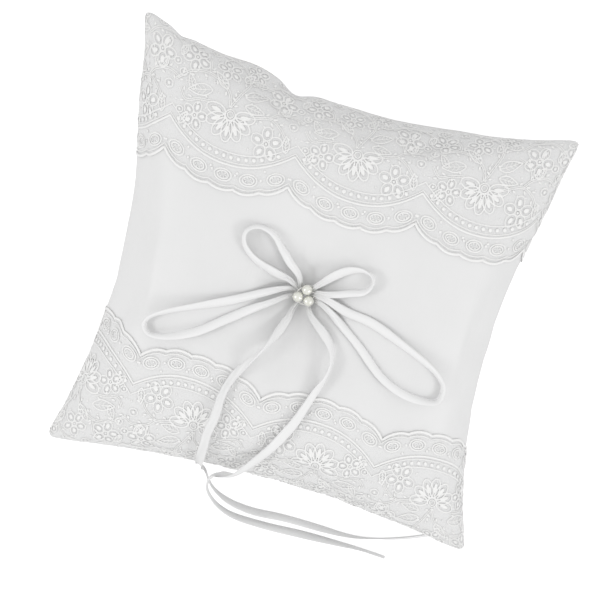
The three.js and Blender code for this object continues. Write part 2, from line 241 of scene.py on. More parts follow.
def tube(bm, line, radius, sides):
    """A round thread along a line, closed along its side and at its ends."""
    layer = cloth_layer(bm)
    line = np.array(line, float)
    run = unit(np.gradient(line, axis=0))
    side = unit(np.cross(run[0], (0.31, 0.47, 0.83)))
    sides_at = []
    for direction in run:
        side = unit(side - direction * (side @ direction))
        sides_at.append(side)
    along = np.concatenate([[0], np.cumsum(np.linalg.norm(np.diff(line, axis=0), axis=1))])
    ring = []
    for vertex, row, column in strip(bm, len(line), sides + 1):
        angle = 2 * math.pi * column / sides
        across = sides_at[row] * math.cos(angle)
        across = across + np.cross(run[row], sides_at[row]) * math.sin(angle)
        vertex.co = line[row] + across * radius
        vertex[layer] = (along[row], angle * radius, 0)
        ring.append(vertex)
    bmesh.ops.remove_doubles(bm, verts=ring, dist=radius * 0.01)
    ring = [vertex for vertex in ring if vertex.is_valid]
    rims = list({edge for vertex in ring for edge in vertex.link_edges if edge.is_boundary})
    bmesh.ops.holes_fill(bm, edges=rims, sides=sides)


def placed(bm, name):
    """Turns a bmesh into an object in the scene."""
    mesh = bpy.data.meshes.new(name)
    bm.to_mesh(mesh)
    bm.free()
    made = bpy.data.objects.new(name, mesh)
    bpy.context.scene.collection.objects.link(made)
    return made


def turned_over(bm, vertices):
    """Makes the faces round these vertices look the other way."""
    faces = {face for vertex in vertices for face in vertex.link_faces}
    bmesh.ops.reverse_faces(bm, faces=list(faces))


def finished(bm, name, material, replaces=()):
    """Turns a bmesh into a smooth, named piece on the pillow's body."""
    bmesh.ops.recalc_face_normals(bm, faces=bm.faces)
    piece = placed(bm, name)
    mesh = piece.data
    mesh.shade_smooth()
    mesh.materials.append(material)
    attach(piece, "root")
    if replaces:
        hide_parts(*replaces)
    triangles = sum(len(face.vertices) - 2 for face in mesh.polygons)
    print(f"{name}: {triangles} triangles")
    return piece


# %% [markdown]
# ## Node groups
#
# Four effects are made once as groups: the long floats of a satin weave, the cells of tulle, the
# twist of a thread, and a soft mottle. Each group takes a place on the cloth and gives heights or
# masks only; the satin weave's streak mask is used to paint sheen into the satin's colour.


# %% Define the node groups
def new_group(name, inputs, outputs):
    """An empty shader node group with its ends."""
    group = bpy.data.node_groups.new(name, "ShaderNodeTree")
    for label, kind, value in inputs:
        socket = group.interface.new_socket(label, in_out="INPUT", socket_type=kind)
        if value is not None:
            socket.default_value = value
    for label in outputs:
        group.interface.new_socket(label, in_out="OUTPUT", socket_type="NodeSocketFloat")
    return group, group.nodes.new("NodeGroupInput"), group.nodes.new("NodeGroupOutput")


def node(tree, kind, links=(), **settings):
    """A node with its settings, and (socket, value or output) pairs given to its inputs."""
    made = tree.nodes.new(kind)
    for label, value in settings.items():
        setattr(made, label, value)
    for socket, value in links:
        if isinstance(value, bpy.types.NodeSocket):
            tree.links.new(value, made.inputs[socket])
        else:
            made.inputs[socket].default_value = value
    return made


def maths(tree, operation, *values):
    """The output of a sum on values or other outputs."""
    return node(tree, "ShaderNodeMath", enumerate(values), operation=operation).outputs[0]


def satin_weave_group():
    """Fine floats that run along Y, a little uneven, and their streaks as a mask for painted sheen."""
    group, given, result = new_group(
        "satin weave",
        [("Vector", "NodeSocketVector", None), ("Threads", "NodeSocketFloat", 4000.0)],
        ["Height", "Painted Sheen"],
    )
    apart = node(group, "ShaderNodeSeparateXYZ", [(0, given.outputs["Vector"])])
    across = maths(group, "MULTIPLY", apart.outputs["X"], given.outputs["Threads"])
    wave = maths(group, "SINE", across)
    stretch = node(
        group, "ShaderNodeMapping", [("Vector", given.outputs["Vector"]), ("Scale", (1900, 90, 1900))]
    )
    sheen_streak = node(
        group,
        "ShaderNodeTexNoise",
        [("Vector", stretch.outputs[0]), ("Scale", 1.0), ("Detail", 2.0)],
    )
    height = maths(group, "MULTIPLY_ADD", wave, 0.35, sheen_streak.outputs["Fac"])
    group.links.new(height, result.inputs["Height"])
    group.links.new(sheen_streak.outputs["Fac"], result.inputs["Painted Sheen"])
    return group


def tulle_group():
    """1 on the threads of a net of small cells, 0 in the holes."""
    group, given, result = new_group(
        "tulle net",
        [
            ("Vector", "NodeSocketVector", None),
            ("Cells", "NodeSocketFloat", 850.0),
            ("Thread", "NodeSocketFloat", 0.035),
        ],
        ["Mask"],
    )
    shear = node(
        group,
        "ShaderNodeMapping",
        [("Vector", given.outputs["Vector"]), ("Rotation", (0, 0, 0.5)), ("Scale", (1, 0.82, 1))],
    )
    cells = node(
        group,
        "ShaderNodeTexVoronoi",
        [
            ("Vector", shear.outputs[0]),
            ("Scale", given.outputs["Cells"]),
            ("Randomness", 0.45),
        ],
        feature="DISTANCE_TO_EDGE",
        voronoi_dimensions="2D",
    )
    mask = node(
        group,
        "ShaderNodeMapRange",
        [
            ("Value", cells.outputs["Distance"]),
            ("From Min", given.outputs["Thread"]),
            ("From Max", 0.015),
            ("To Min", 0.0),
            ("To Max", 1.0),
        ],
    )
    group.links.new(mask.outputs["Result"], result.inputs["Mask"])
    return group


def twist_group():
    """The ridges of a twisted thread: slanting lines on (along, around)."""
    group, given, result = new_group(
        "thread twist",
        [
            ("Vector", "NodeSocketVector", None),
            ("Lines", "NodeSocketFloat", 9000.0),
            ("Slant", "NodeSocketFloat", 0.8),
        ],
        ["Height"],
    )
    apart = node(group, "ShaderNodeSeparateXYZ", [(0, given.outputs["Vector"])])
    along, around = apart.outputs["X"], apart.outputs["Y"]
    slanted = maths(group, "MULTIPLY_ADD", around, given.outputs["Slant"], along)
    phase = maths(group, "MULTIPLY", slanted, given.outputs["Lines"])
    group.links.new(maths(group, "SINE", phase), result.inputs["Height"])
    return group


def mottle_group():
    """A soft uneven value from Low to High."""
    group, given, result = new_group(
        "soft mottle",
        [
            ("Vector", "NodeSocketVector", None),
            ("Scale", "NodeSocketFloat", 60.0),
            ("Low", "NodeSocketFloat", 0.0),
            ("High", "NodeSocketFloat", 1.0),
        ],
        ["Value"],
    )
    noise = node(
        group,
        "ShaderNodeTexNoise",
        [("Vector", given.outputs["Vector"]), ("Scale", given.outputs["Scale"]), ("Detail", 4.0)],
    )
    spread = node(
        group,
        "ShaderNodeMapRange",
        [
            ("Value", noise.outputs["Fac"]),
            ("From Min", 0.3),
            ("From Max", 0.7),
            ("To Min", given.outputs["Low"]),
            ("To Max", given.outputs["High"]),
        ],
    )
    group.links.new(spread.outputs["Result"], result.inputs["Value"])
    return group


SATIN_WEAVE = satin_weave_group()
TULLE = tulle_group()
TWIST = twist_group()
MOTTLE = mottle_group()
print("node groups:", [group.name for group in bpy.data.node_groups])

# %% [markdown]
# ## Materials
#
# Seven materials: the case's bridal satin, the ribbon's brighter satin, the lace's tulle ground,
# its corded embroidery, the pearl coat and sewing thread, and the fibre inside. All are whites,
# told apart by how they shine: satin has a broad sheen across its floats and streaks of painted
# sheen in its colour, tulle is mostly holes, cords catch light on their twist, and pearls mirror
# their surroundings under a clear coat.


# %% Make the materials
def new_material(name, colour, roughness, others):
    """A material with its Principled shader, and the place on the cloth."""
    material = bpy.data.materials.new(name)
    material.use_nodes = True
    tree = material.node_tree
    shader = tree.nodes["Principled BSDF"]
    shader.inputs["Base Color"].default_value = (*colour, 1)
    shader.inputs["Roughness"].default_value = roughness
    for label, value in others.items():
        shader.inputs[label].default_value = value
    place = node(tree, "ShaderNodeAttribute", attribute_name="cloth")
    return material, tree, shader, place.outputs["Vector"]


def mottled(tree, place, scale):
    """The soft mottle at a place, from 0 to 1."""
    links = [("Vector", place), ("Scale", scale)]
    return node(tree, "ShaderNodeGroup", links, node_tree=MOTTLE).outputs["Value"]


def tint(tree, shader, value, dark, light):
    """Mixes the base colour from dark to light by a value."""
    mix = node(tree, "ShaderNodeMix", [(0, value)], data_type="RGBA")
    mix.inputs[6].default_value = (*dark, 1)
    mix.inputs[7].default_value = (*light, 1)
    tree.links.new(mix.outputs[2], shader.inputs["Base Color"])


def bumped(tree, shader, height, strength, distance):
    """Gives the shader a bump from a height."""
    bump = node(
        tree,
        "ShaderNodeBump",
        [("Height", height), ("Strength", strength), ("Distance", distance)],
    )
    tree.links.new(bump.outputs[0], shader.inputs["Normal"])


def satin_material(name, dark, light, roughness, sheen, relief):
    """Woven satin: floats with a broad sheen, painted sheen along their streaks, and a slight
    unevenness.
    """
    shine = {
        "Sheen Weight": sheen,
        "Sheen Roughness": 0.4,
        "Specular IOR Level": 0.4,
        "Anisotropic": 0.4,
    }
    material, tree, shader, place = new_material(name, light, roughness, shine)
    weave = node(tree, "ShaderNodeGroup", [("Vector", place)], node_tree=SATIN_WEAVE)
    # Painted sheen: the base colour is lighter along streaks that run with the floats, scaled by a
    # random mottle.
    painted_sheen = maths(tree, "MULTIPLY_ADD", weave.outputs["Painted Sheen"], 0.5, 0.25)
    tint(tree, shader, maths(tree, "MULTIPLY", painted_sheen, mottled(tree, place, 45.0)), dark, light)
    bumped(tree, shader, weave.outputs["Height"], relief, 0.00006)
    return material


def tulle_material():
    """Fine net: thread where the mask is, air between."""
    material, tree, shader, place = new_material("lace tulle", (0.97, 0.968, 0.96), 0.6, {})
    net = node(tree, "ShaderNodeGroup", [("Vector", place)], node_tree=TULLE)
    tree.links.new(net.outputs["Mask"], shader.inputs["Alpha"])
    bumped(tree, shader, net.outputs["Mask"], 0.5, 0.0001)
    return material


def cord_material(name, dark, light, lines, slant):
    """Twisted or satin-stitched thread."""
    material, tree, shader, place = new_material(name, light, 0.55, {"Sheen Weight": 0.25})
    twist = node(
        tree,
        "ShaderNodeGroup",
        [("Vector", place), ("Lines", lines), ("Slant", slant)],
        node_tree=TWIST,
    )
    tint(tree, shader, mottled(tree, place, 300.0), dark, light)
    bumped(tree, shader, twist.outputs["Height"], 0.5, 0.00008)
    return material


def pearl_material():
    """A half mirrored bead under a clear coat, with a faint change of tint over its body."""
    shine = {
        "Metallic": 0.45,
        "Coat Weight": 0.8,
        "Coat IOR": 1.7,
        "Coat Roughness": 0.08,
        "Specular IOR Level": 0.6,
    }
    material, tree, shader, _ = new_material("pearl coat", (0.82, 0.82, 0.77), 0.16, shine)
    place = node(tree, "ShaderNodeTexCoord").outputs["Object"]
    tint(tree, shader, mottled(tree, place, 420.0), (0.80, 0.80, 0.72), (0.88, 0.88, 0.83))
    return material


def fibre_material():
    """Matt polyester fibre: curls and clumps."""
    soft = {"Sheen Weight": 0.6}
    material, tree, shader, _ = new_material("filling fibre", (0.88, 0.88, 0.88), 0.95, soft)
    place = node(tree, "ShaderNodeTexCoord")
    curls = node(
        tree,
        "ShaderNodeTexNoise",
        [
            ("Vector", place.outputs["Object"]),
            ("Scale", 700.0),
            ("Detail", 6.0),
            ("Distortion", 3.0),
        ],
    )
    tint(tree, shader, curls.outputs["Fac"], (0.6, 0.6, 0.6), (0.94, 0.94, 0.94))
    bumped(tree, shader, curls.outputs["Fac"], 0.8, 0.0008)
    return material


CASE_SATIN = satin_material("case satin", (0.775, 0.775, 0.775), (0.815, 0.815, 0.815), 0.45, 0.1, 0.12)
RIBBON_SATIN = satin_material("ribbon satin", (0.84, 0.84, 0.84), (0.89, 0.89, 0.89), 0.36, 0.1, 0.15)
LACE_TULLE = tulle_material()
LACE_CORD = cord_material("lace cord", (0.89, 0.888, 0.88), (0.92, 0.918, 0.91), 7000.0, 0.6)
SEWING_THREAD = cord_material("sewing thread", (0.80, 0.79, 0.76), (0.88, 0.87, 0.84), 9000.0, 1.1)
PEARL_COAT = pearl_material()
FIBRE = fibre_material()
print("materials:", [material.name for material in bpy.data.materials if material.use_nodes])

# %% [markdown]
# ## Case: cut, fill and pull in
#
# The case is two square satin panels sewn together at the rim and stuffed, with one tuft pulled
# through the middle. It could be modelled as a swollen square, but a real case only puffs as far
# as its flat cloth lets it, which is what draws the sides in and leaves four ears. So two flat
# grids are joined at the rim, started roughly puffed, and blown up as cloth whose rest shape is
# the flat cut, with the tuft pinned.

# %% Cut the panels and start them puffed
CLOTH_HALF = 106 * MM
CELLS = 64
PULLED_IN = 12.5 * MM
FRONT_DIP_REACH = 30 * MM
BACK_DIP_REACH = 18 * MM
FRONT_DIP = RISE - (TUFT_FRONT_Z - SEAM_Z)
BACK_DIP = DROP - (SEAM_Z - TUFT_BACK_Z)


def puffed(u, v, side):
    """A rough filled shape for a point of a panel, about the seam's height."""
    a = 0.45 * u + 0.55 * math.sin(u * math.pi / 2)
    b = 0.45 * v + 0.55 * math.sin(v * math.pi / 2)
    x = a * (HALF - PULLED_IN * a * a * (1 - b * b))
    y = b * (HALF - PULLED_IN * b * b * (1 - a * a))
    bulge = math.sqrt(max(0, (1 - a * a) * (1 - b * b)))
    reach, depth = (FRONT_DIP_REACH, FRONT_DIP) if side > 0 else (BACK_DIP_REACH, BACK_DIP)
    near = min(math.hypot(x - TUFT_X, y - TUFT_Y) / reach, 1)
    dip = depth * (1 + math.cos(math.pi * near)) / 2
    return (x, y, RISE * bulge - dip) if side > 0 else (x, y, dip - DROP * bulge)


bm = bmesh.new()
u_layer = bm.verts.layers.float.new("u")
v_layer = bm.verts.layers.float.new("v")
side_layer = bm.verts.layers.float.new("side")
for side in (1, -1):
    panel = bmesh.ops.create_grid(bm, x_segments=CELLS, y_segments=CELLS, size=1)
    for vertex in panel["verts"]:
        u, v = vertex.co.x, vertex.co.y
        at_rim = max(abs(u), abs(v)) > 0.9999
        vertex[u_layer], vertex[v_layer], vertex[side_layer] = u, v, 0 if at_rim else side
    if side < 0:
        turned_over(bm, panel["verts"])
    for vertex in panel["verts"]:
        vertex.co = puffed(vertex[u_layer], vertex[v_layer], side)
rim = [vertex for vertex in bm.verts if vertex[side_layer] == 0]
bmesh.ops.remove_doubles(bm, verts=rim, dist=0.01 * MM)
case = placed(bm, "case_start")
case_mesh = case.data
print("case:", len(case_mesh.vertices), "points")


# %% Fill it
def column(mesh, name):
    """A float attribute of a mesh's points."""
    values = np.empty(len(mesh.vertices))
    mesh.attributes[name].data.foreach_get("value", values)
    return values


def places(mesh):
    """The points of a mesh."""
    values = np.empty(len(mesh.vertices) * 3)
    mesh.vertices.foreach_get("co", values)
    return values.reshape(-1, 3)


FRAMES = 30
PINNED_REACH = 4.5 * MM
case.shape_key_add(name="Basis")
flat_key = case.shape_key_add(name="flat cut")
flat_points = np.zeros((len(case_mesh.vertices), 3), np.float32)
flat_points[:, 0] = column(case_mesh, "u") * CLOTH_HALF
flat_points[:, 1] = column(case_mesh, "v") * CLOTH_HALF
flat_key.data.foreach_set("co", flat_points.ravel())
flat_key.value = 0
pinned = case.vertex_groups.new(name="tuft")
start = places(case_mesh)
from_tuft = np.hypot(start[:, 0] - TUFT_X, start[:, 1] - TUFT_Y)
pinned.add(np.where(from_tuft < PINNED_REACH)[0].tolist(), 1.0, "REPLACE")

cloth = case.modifiers.new("cloth", "CLOTH")
satin = cloth.settings
satin.quality = 6
satin.mass = 0.15
satin.tension_stiffness = 15
satin.compression_stiffness = 15
satin.shear_stiffness = 3
satin.bending_model = "ANGULAR"
satin.bending_stiffness = 0.01
satin.tension_damping = 3
satin.compression_damping = 3
satin.shear_damping = 3
satin.bending_damping = 0.3
satin.air_damping = 1
satin.use_pressure = True
satin.uniform_pressure_force = 4
satin.vertex_group_mass = "tuft"
satin.rest_shape_key = flat_key
satin.effector_weights.gravity = 0
cloth.collision_settings.use_collision = False
cloth.collision_settings.use_self_collision = False
for number in range(1, FRAMES + 1):
    bpy.context.scene.frame_set(number)
finer = case.modifiers.new("finer", "SUBSURF")
finer.levels = 1
finer.render_levels = 1
graph = bpy.context.evaluated_depsgraph_get()
filled = bpy.data.meshes.new_from_object(case.evaluated_get(graph), depsgraph=graph)
bpy.data.objects.remove(case)
bpy.context.scene.frame_set(1)
across = column(filled, "u")
upward_share = column(filled, "v")
panel_side = column(filled, "side")
points = places(filled)
from_rim = CLOTH_HALF * (1 - np.maximum(abs(across), abs(upward_share)))
print("filled case spans", points.min(0).round(4), points.max(0).round(4))

# %% [markdown]
# ## Case: settle it
#
# A used pillow isn't the even shape the filling gives. Its corners are turned out by hand to
# different lengths, the stuffing sits fuller towards the lower side, the top side has a dent
# where the seam buckled, and the underside flattens where it lies. Those are even shifts of the
# filled cloth, by 7 mm over much of it and by 16 mm at most. The puckers that the tuft and the seam
# draw into the satin are finer than the cloth's cells, so they are waves added to its height along
# the seam and round the tuft.

# %% Settle the corners, the sides and the underside
# Each corner's place and how far its tip is rounded back.
CORNERS = {
    (-1, 1): (-0.1092, 0.1070, 6.5 * MM),
    (1, 1): (0.1030, 0.0998, 3.5 * MM),
    (1, -1): (0.1045, -0.1052, 4.5 * MM),
    (-1, -1): (-0.1047, -0.1020, 5.0 * MM),
}
LEFT_SIDE, RIGHT_SIDE, TOP_SIDE, BOTTOM_SIDE = -0.0912, 0.0868, 0.0870, -0.0945
UPPER_LEFT_FULLER = 3.4 * MM
UPPER_RIGHT_FULLER = 3.6 * MM
# On the top side, an ear, a dent and the neck of the corner: where, half how wide, how far out.
TOP_SHAPES = [(-0.052, 0.015, 3.0 * MM), (-0.031, 0.006, -4.5 * MM), (-0.089, 0.004, -1.6 * MM)]
RESTING = 5 * MM


def at_cloth(values_u, values_v):
    """The filled case's point nearest to a place on the cloth."""
    return points[np.argmin((across - values_u) ** 2 + (upward_share - values_v) ** 2)]


def past_middle(values):
    """Nothing up to the middle, and from there a growing share to 1 at the side."""
    return np.where(values > 0, values**2, 0)


def settle():
    """Moves the filled case's points to where the pillow's lie."""
    for (u, v), (x, y, _) in CORNERS.items():
        gap = np.array([x, y]) - at_cloth(u, v)[:2]
        share = (1 + u * across) * (1 + v * upward_share) / 4
        points[:, :2] += share[:, None] * gap
    for (u, v), (_, _, rounding) in CORNERS.items():
        near = np.clip((u * across + v * upward_share - 1.86) / 0.14, 0, 1) ** 2
        points[:, 0] -= u * near * rounding * 0.71
        points[:, 1] -= v * near * rounding * 0.71
    left = past_middle(-across) * (1 - upward_share**2)
    right = past_middle(across) * (1 - upward_share**2)
    top = past_middle(upward_share) * (1 - across**2)
    bottom = past_middle(-upward_share) * (1 - across**2)
    points[:, 0] += left * (LEFT_SIDE - at_cloth(-1, 0)[0])
    points[:, 0] += right * (RIGHT_SIDE - at_cloth(1, 0)[0])
    upper_left = past_middle(-across) * np.exp(-(((upward_share - 0.45) / 0.26) ** 2))
    upper_right = past_middle(across) * np.exp(-(((upward_share - 0.5) / 0.32) ** 2))
    points[:, 0] += UPPER_RIGHT_FULLER * upper_right - UPPER_LEFT_FULLER * upper_left
    points[:, 1] += top * (TOP_SIDE - at_cloth(0, 1)[1])
    points[:, 1] += bottom * (BOTTOM_SIDE - at_cloth(0, -1)[1])
    high = np.clip(upward_share, 0, 1) ** 8
    for place, spread, out in TOP_SHAPES:
        points[:, 1] += high * out * np.exp(-(((points[:, 0] - place) / spread) ** 2))


def pucker():
    """Fine folds by the seam and round the tuft."""
    beside = np.where(abs(across) > abs(upward_share), upward_share, across) * CLOTH_HALF
    edge = np.where(abs(across) > abs(upward_share), across, upward_share + 3)
    wave = np.sin(beside / 0.0021 + 2.3 * np.sin(beside / 0.011 + edge)) * 0.6
    wave += np.sin(beside / 0.0047 + 1.7 * edge + 1.9 * np.sin(beside / 0.017)) * 0.9
    fade = np.exp(-from_rim / 0.008) * (1 - np.exp(-from_rim / 0.0022))
    outward = np.sign(panel_side)
    points[:, 2] += outward * wave * fade * 0.8 * MM
    off_x = points[:, 0] - TUFT_X
    off_y = points[:, 1] - TUFT_Y
    reach = np.hypot(off_x, off_y)
    angle = np.arctan2(off_y, off_x)
    rays = np.sin(7 * angle + 0.6) + 0.8 * np.sin(11 * angle + 2.1) + 0.5 * np.sin(17 * angle + 4.0)
    near = np.exp(-(((reach - 0.013) / 0.011) ** 2)) * smooth_step(reach, 0.003, 0.010)
    far = np.exp(-(((reach - 0.032) / 0.020) ** 2)) * (0.5 - 0.5 * np.cos(2 * angle + 0.4))
    points[:, 2] += outward * (rays * near * 0.5 + np.sin(9 * angle + 1.2) * far * 0.7) * MM


settle()
pucker()
points[:, 2] += SEAM_Z
eased = RESTING * np.exp(points[:, 2] / RESTING - 1)
points[:, 2] = np.where(points[:, 2] < RESTING, eased, points[:, 2])
points[:, 2] -= points[:, 2].min()
tucked = 1 - smooth_step(from_rim, 0, 0.0022)
points[:, 0] -= np.sign(across) * tucked * (abs(across) >= abs(upward_share)) * 0.5 * MM
points[:, 1] -= np.sign(upward_share) * tucked * (abs(upward_share) > abs(across)) * 0.5 * MM
filled.vertices.foreach_set("co", points.astype(np.float32).ravel())
filled.update()
polygons = [tuple(face.vertices) for face in filled.polygons]
CASE = BVHTree.FromPolygons([tuple(point) for point in points], polygons)
print("settled case spans", points.min(0).round(4), points.max(0).round(4))


# %% Look up places on the cloth
GRID = 2 * CELLS


def cloth_grid(side):
    """The case's points on one panel, as a grid over the flat cloth."""
    grid = np.zeros((GRID + 1, GRID + 1, 3))
    chosen = (panel_side * side > 0) | (np.maximum(abs(across), abs(upward_share)) > 0.9999)
    rows = np.rint((across[chosen] + 1) / 2 * GRID).astype(int)
    columns = np.rint((upward_share[chosen] + 1) / 2 * GRID).astype(int)
    grid[rows, columns] = points[chosen]
    return grid


FRONT = cloth_grid(1)
BACK = cloth_grid(-1)


def true_spacing(lines):
    """Where a panel's grid lines lie on the flat cloth, by the cloth's length between them."""
    lengths = np.linalg.norm(np.diff(lines, axis=1), axis=2).mean(0)
    reach = np.concatenate([[0], np.cumsum(lengths)])
    reach = reach - reach[GRID // 2]
    print(f"cloth from {reach[0]:.4f} to {reach[-1]:.4f}")
    return np.where(reach < 0, reach / -reach[0], reach / reach[-1]) * CLOTH_HALF


bands_at = [round(GRID * share) for share in (0.15, 0.25, 0.35, 0.65, 0.75, 0.85)]
LINES_X = true_spacing(FRONT[:, bands_at].transpose(1, 0, 2))
LINES_Y = true_spacing(FRONT[bands_at])
STEPS = np.arange(GRID + 1)


def on_cloth(grid, x, y, lift=0.0, side=1):
    """Where flat cloth places x, y (metres from the middle) lie on a filled panel."""
    u = np.clip(np.interp(x, LINES_X, STEPS), 0, GRID - 1e-6)
    v = np.clip(np.interp(y, LINES_Y, STEPS), 0, GRID - 1e-6)
    i, j = u.astype(int), v.astype(int)
    a, b = (u - i)[..., None], (v - j)[..., None]
    near, far = grid[i, j], grid[i + 1, j]
    near_up, far_up = grid[i, j + 1], grid[i + 1, j + 1]
    place = near * (1 - a) * (1 - b) + far * a * (1 - b) + near_up * (1 - a) * b + far_up * a * b
    out = unit(np.cross((far + far_up) - (near + near_up), (near_up + far_up) - (near + far)))
    return place + side * out * np.asarray(lift, float)[..., None]


flat_x = np.interp((across + 1) / 2 * GRID, STEPS, LINES_X)
flat_y = np.interp((upward_share + 1) / 2 * GRID, STEPS, LINES_Y)
filled.attributes["u"].data.foreach_set("value", flat_x.astype(np.float32))
filled.attributes["v"].data.foreach_set("value", flat_y.astype(np.float32))
print("front tuft at", on_cloth(FRONT, TUFT_X, TUFT_Y).round(4))

# %% [markdown]
# ## Case: panels, filling, seam and closing stitches
#
# The two panels stay two pieces of cloth, each with a thickness, meeting in a tucked seam. The
# filling is a lumpy body just inside them. The seam's stitches sit in the groove between the
# panels, except along the gap the case was stuffed through, which is closed by hand with a ladder
# of stitches across it.


# %% Make the two panels
def panel_piece(name, side, replaced):
    """One panel of the filled case, with the thickness of satin."""
    bm = bmesh.new()
    bm.from_mesh(filled)
    layer = cloth_layer(bm)
    u_at = bm.verts.layers.float["u"]
    v_at = bm.verts.layers.float["v"]
    side_at = bm.verts.layers.float["side"]
    for vertex in bm.verts:
        vertex[layer] = (vertex[u_at], vertex[v_at], side)
    other = [face for face in bm.faces if sum(vertex[side_at] for vertex in face.verts) * side < 0]
    bmesh.ops.delete(bm, geom=other, context="FACES")
    bmesh.ops.solidify(bm, geom=bm.faces[:], thickness=0.3 * MM)
    return finished(bm, name, CASE_SATIN, [replaced])


front_satin = panel_piece("front_satin", 1, "front_panel")
back_satin = panel_piece("back_satin", -1, "back_panel")

# %% Stuff it
bm = bmesh.new()
lumps = np.random.default_rng(7).uniform(-1, 1, (12, 3))
for side in (1, -1):
    stuffing = bmesh.ops.create_grid(bm, x_segments=48, y_segments=48, size=1)
    flat = np.array([vertex.co.xy for vertex in stuffing["verts"]]) * CLOTH_HALF * 0.93
    inner = on_cloth(FRONT if side > 0 else BACK, flat[:, 0], flat[:, 1])
    opposite = on_cloth(BACK if side > 0 else FRONT, flat[:, 0], flat[:, 1])
    edge = abs(flat).max(1) > CLOTH_HALF * 0.9299
    keep = np.where(edge, 0.5, 0.93)[:, None]
    inner = inner * keep + opposite * (1 - keep)
    clump = sum(np.sin(inner @ (lump * 260) + index) for index, lump in enumerate(lumps))
    inner[:, 2] -= side * (0.4 + 0.12 * np.clip(clump, -4, 4)) * MM * ~edge
    if side < 0:
        turned_over(bm, stuffing["verts"])
    for vertex, place in zip(stuffing["verts"], inner):
        vertex.co = place
bmesh.ops.remove_doubles(bm, verts=bm.verts, dist=0.05 * MM)
cloth_layer(bm)
filling = finished(bm, "stuffing", FIBRE, ["fibre_filling"])


# %% Sew the seam and close the gap
def rim_place(share):
    """A place along the seam, 0 to 4 round the four sides from the lower left."""
    turn, along = int(share) % 4, (share % 1) * 2 - 1
    x, y = [(along, -1), (1, along), (-along, 1), (-1, -along)][turn]
    return x * CLOTH_HALF, y * CLOTH_HALF


def stitch(bm, start, end, radius):
    """A short length of thread lying from start to end."""
    layer = cloth_layer(bm)
    start, end = Vector(start), Vector(end)
    made = bmesh.ops.create_uvsphere(bm, u_segments=6, v_segments=5, radius=radius)
    half = (end - start).length / 2
    lie = (end - start).to_track_quat("Z", "Y").to_matrix()
    for vertex in made["verts"]:
        vertex[layer] = (vertex.co.z * half / radius, vertex.co.x, 0)
        vertex.co.z *= half / radius
        vertex.co = (start + end) / 2 + lie @ vertex.co


closing_low, closing_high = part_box("closing_stitch")
closing_from, closing_to = closing_low.x, closing_high.x
SEAM_STITCHES = 336
seam_bm = bmesh.new()
for index in range(SEAM_STITCHES):
    share = index * 4 / SEAM_STITCHES
    ends = []
    for part in (0.16, 0.84):
        x, y = rim_place(share + part * 4 / SEAM_STITCHES)
        lower = on_cloth(BACK, x, y)
        ends.append(lower + (0, 0, 0.1 * MM))
    by_hand = share < 1 and closing_from < ends[0][0] < closing_to
    if not by_hand:
        stitch(seam_bm, ends[0], ends[1], 0.22 * MM)
finished(seam_bm, "seam_stitches", SEWING_THREAD, ["seam_thread"])

LADDER_STITCHES = 15
ladder_bm = bmesh.new()
for index in range(LADDER_STITCHES):
    x = closing_from + (index + 0.5) / LADDER_STITCHES * (closing_to - closing_from)
    slack = 0.35 * MM * math.sin(index * 2.4)
    upper = on_cloth(FRONT, x + slack, 1.3 * MM - CLOTH_HALF, 0.15 * MM)
    lower = on_cloth(BACK, x - slack, 1.1 * MM - CLOTH_HALF, 0.15 * MM, -1)
    stitch(ladder_bm, upper, lower, 0.24 * MM)
finished(ladder_bm, "closing_ladder", SEWING_THREAD, ["closing_stitch"])

# %% [markdown]
# ## Lace bands: the net ground
#
# Two bands of corded lace lie over the front, one along the upper side and one along the lower,
# caught in that seam and at the sides, where their cut ends stand a little past it. Their free
# edges face the middle in deep scallops, each made of five small ones. A band is a sheet of fine
# tulle cut along that edge and laid on the filled panel. The threads are too fine to model one by
# one over such an area, so the net's holes are in the material while the edge is in the cut.

# %% Cut and lay the net
REPEAT = 57.5 * MM
LITTLE_COUNT = 5
LITTLE = REPEAT / LITTLE_COUNT
DEEP = 8.6 * MM
SCALLOP_BEND = 2.6
BANDS = {
    "upper": {"toward": 1, "cusp": 47 * MM, "first": -21.5 * MM, "tilt": 0.0},
    "lower": {"toward": -1, "cusp": 49 * MM, "first": -10 * MM, "tilt": 0.06},
}
NET_LIFT = 0.18 * MM
OVERHANG = 2.6 * MM


def cusp_line(band, x):
    """How far from the middle the scallops' cusps lie at x."""
    return band["cusp"] + band["tilt"] * x


def lace_edge(band, x):
    """How far from the middle the lace's free edge lies at x."""
    along = np.mod(np.asarray(x, float) - band["first"], REPEAT) / REPEAT * 2 - 1
    scallop = DEEP * (1 - abs(along) ** SCALLOP_BEND)
    small = abs(np.sin(np.pi * (np.asarray(x, float) - band["first"]) / LITTLE))
    return cusp_line(band, x) - scallop - 1.3 * MM * small**0.7


def lace_lift(band, x, y):
    """How far the lace stands off the satin: least at the seam, most at its free edge."""
    from_seam = CLOTH_HALF - np.maximum(abs(x), abs(y))
    from_edge = abs(y) - lace_edge(band, x)
    wave = 0.5 + 0.5 * np.sin(np.asarray(x, float) / 0.009 + 1.3)
    open_edge = np.exp(-np.clip(from_edge, 0, 1) / 0.003) * (0.15 + 0.3 * wave) * MM
    return 0.08 * MM + smooth_step(from_seam, 0, 0.006) * (NET_LIFT + open_edge)


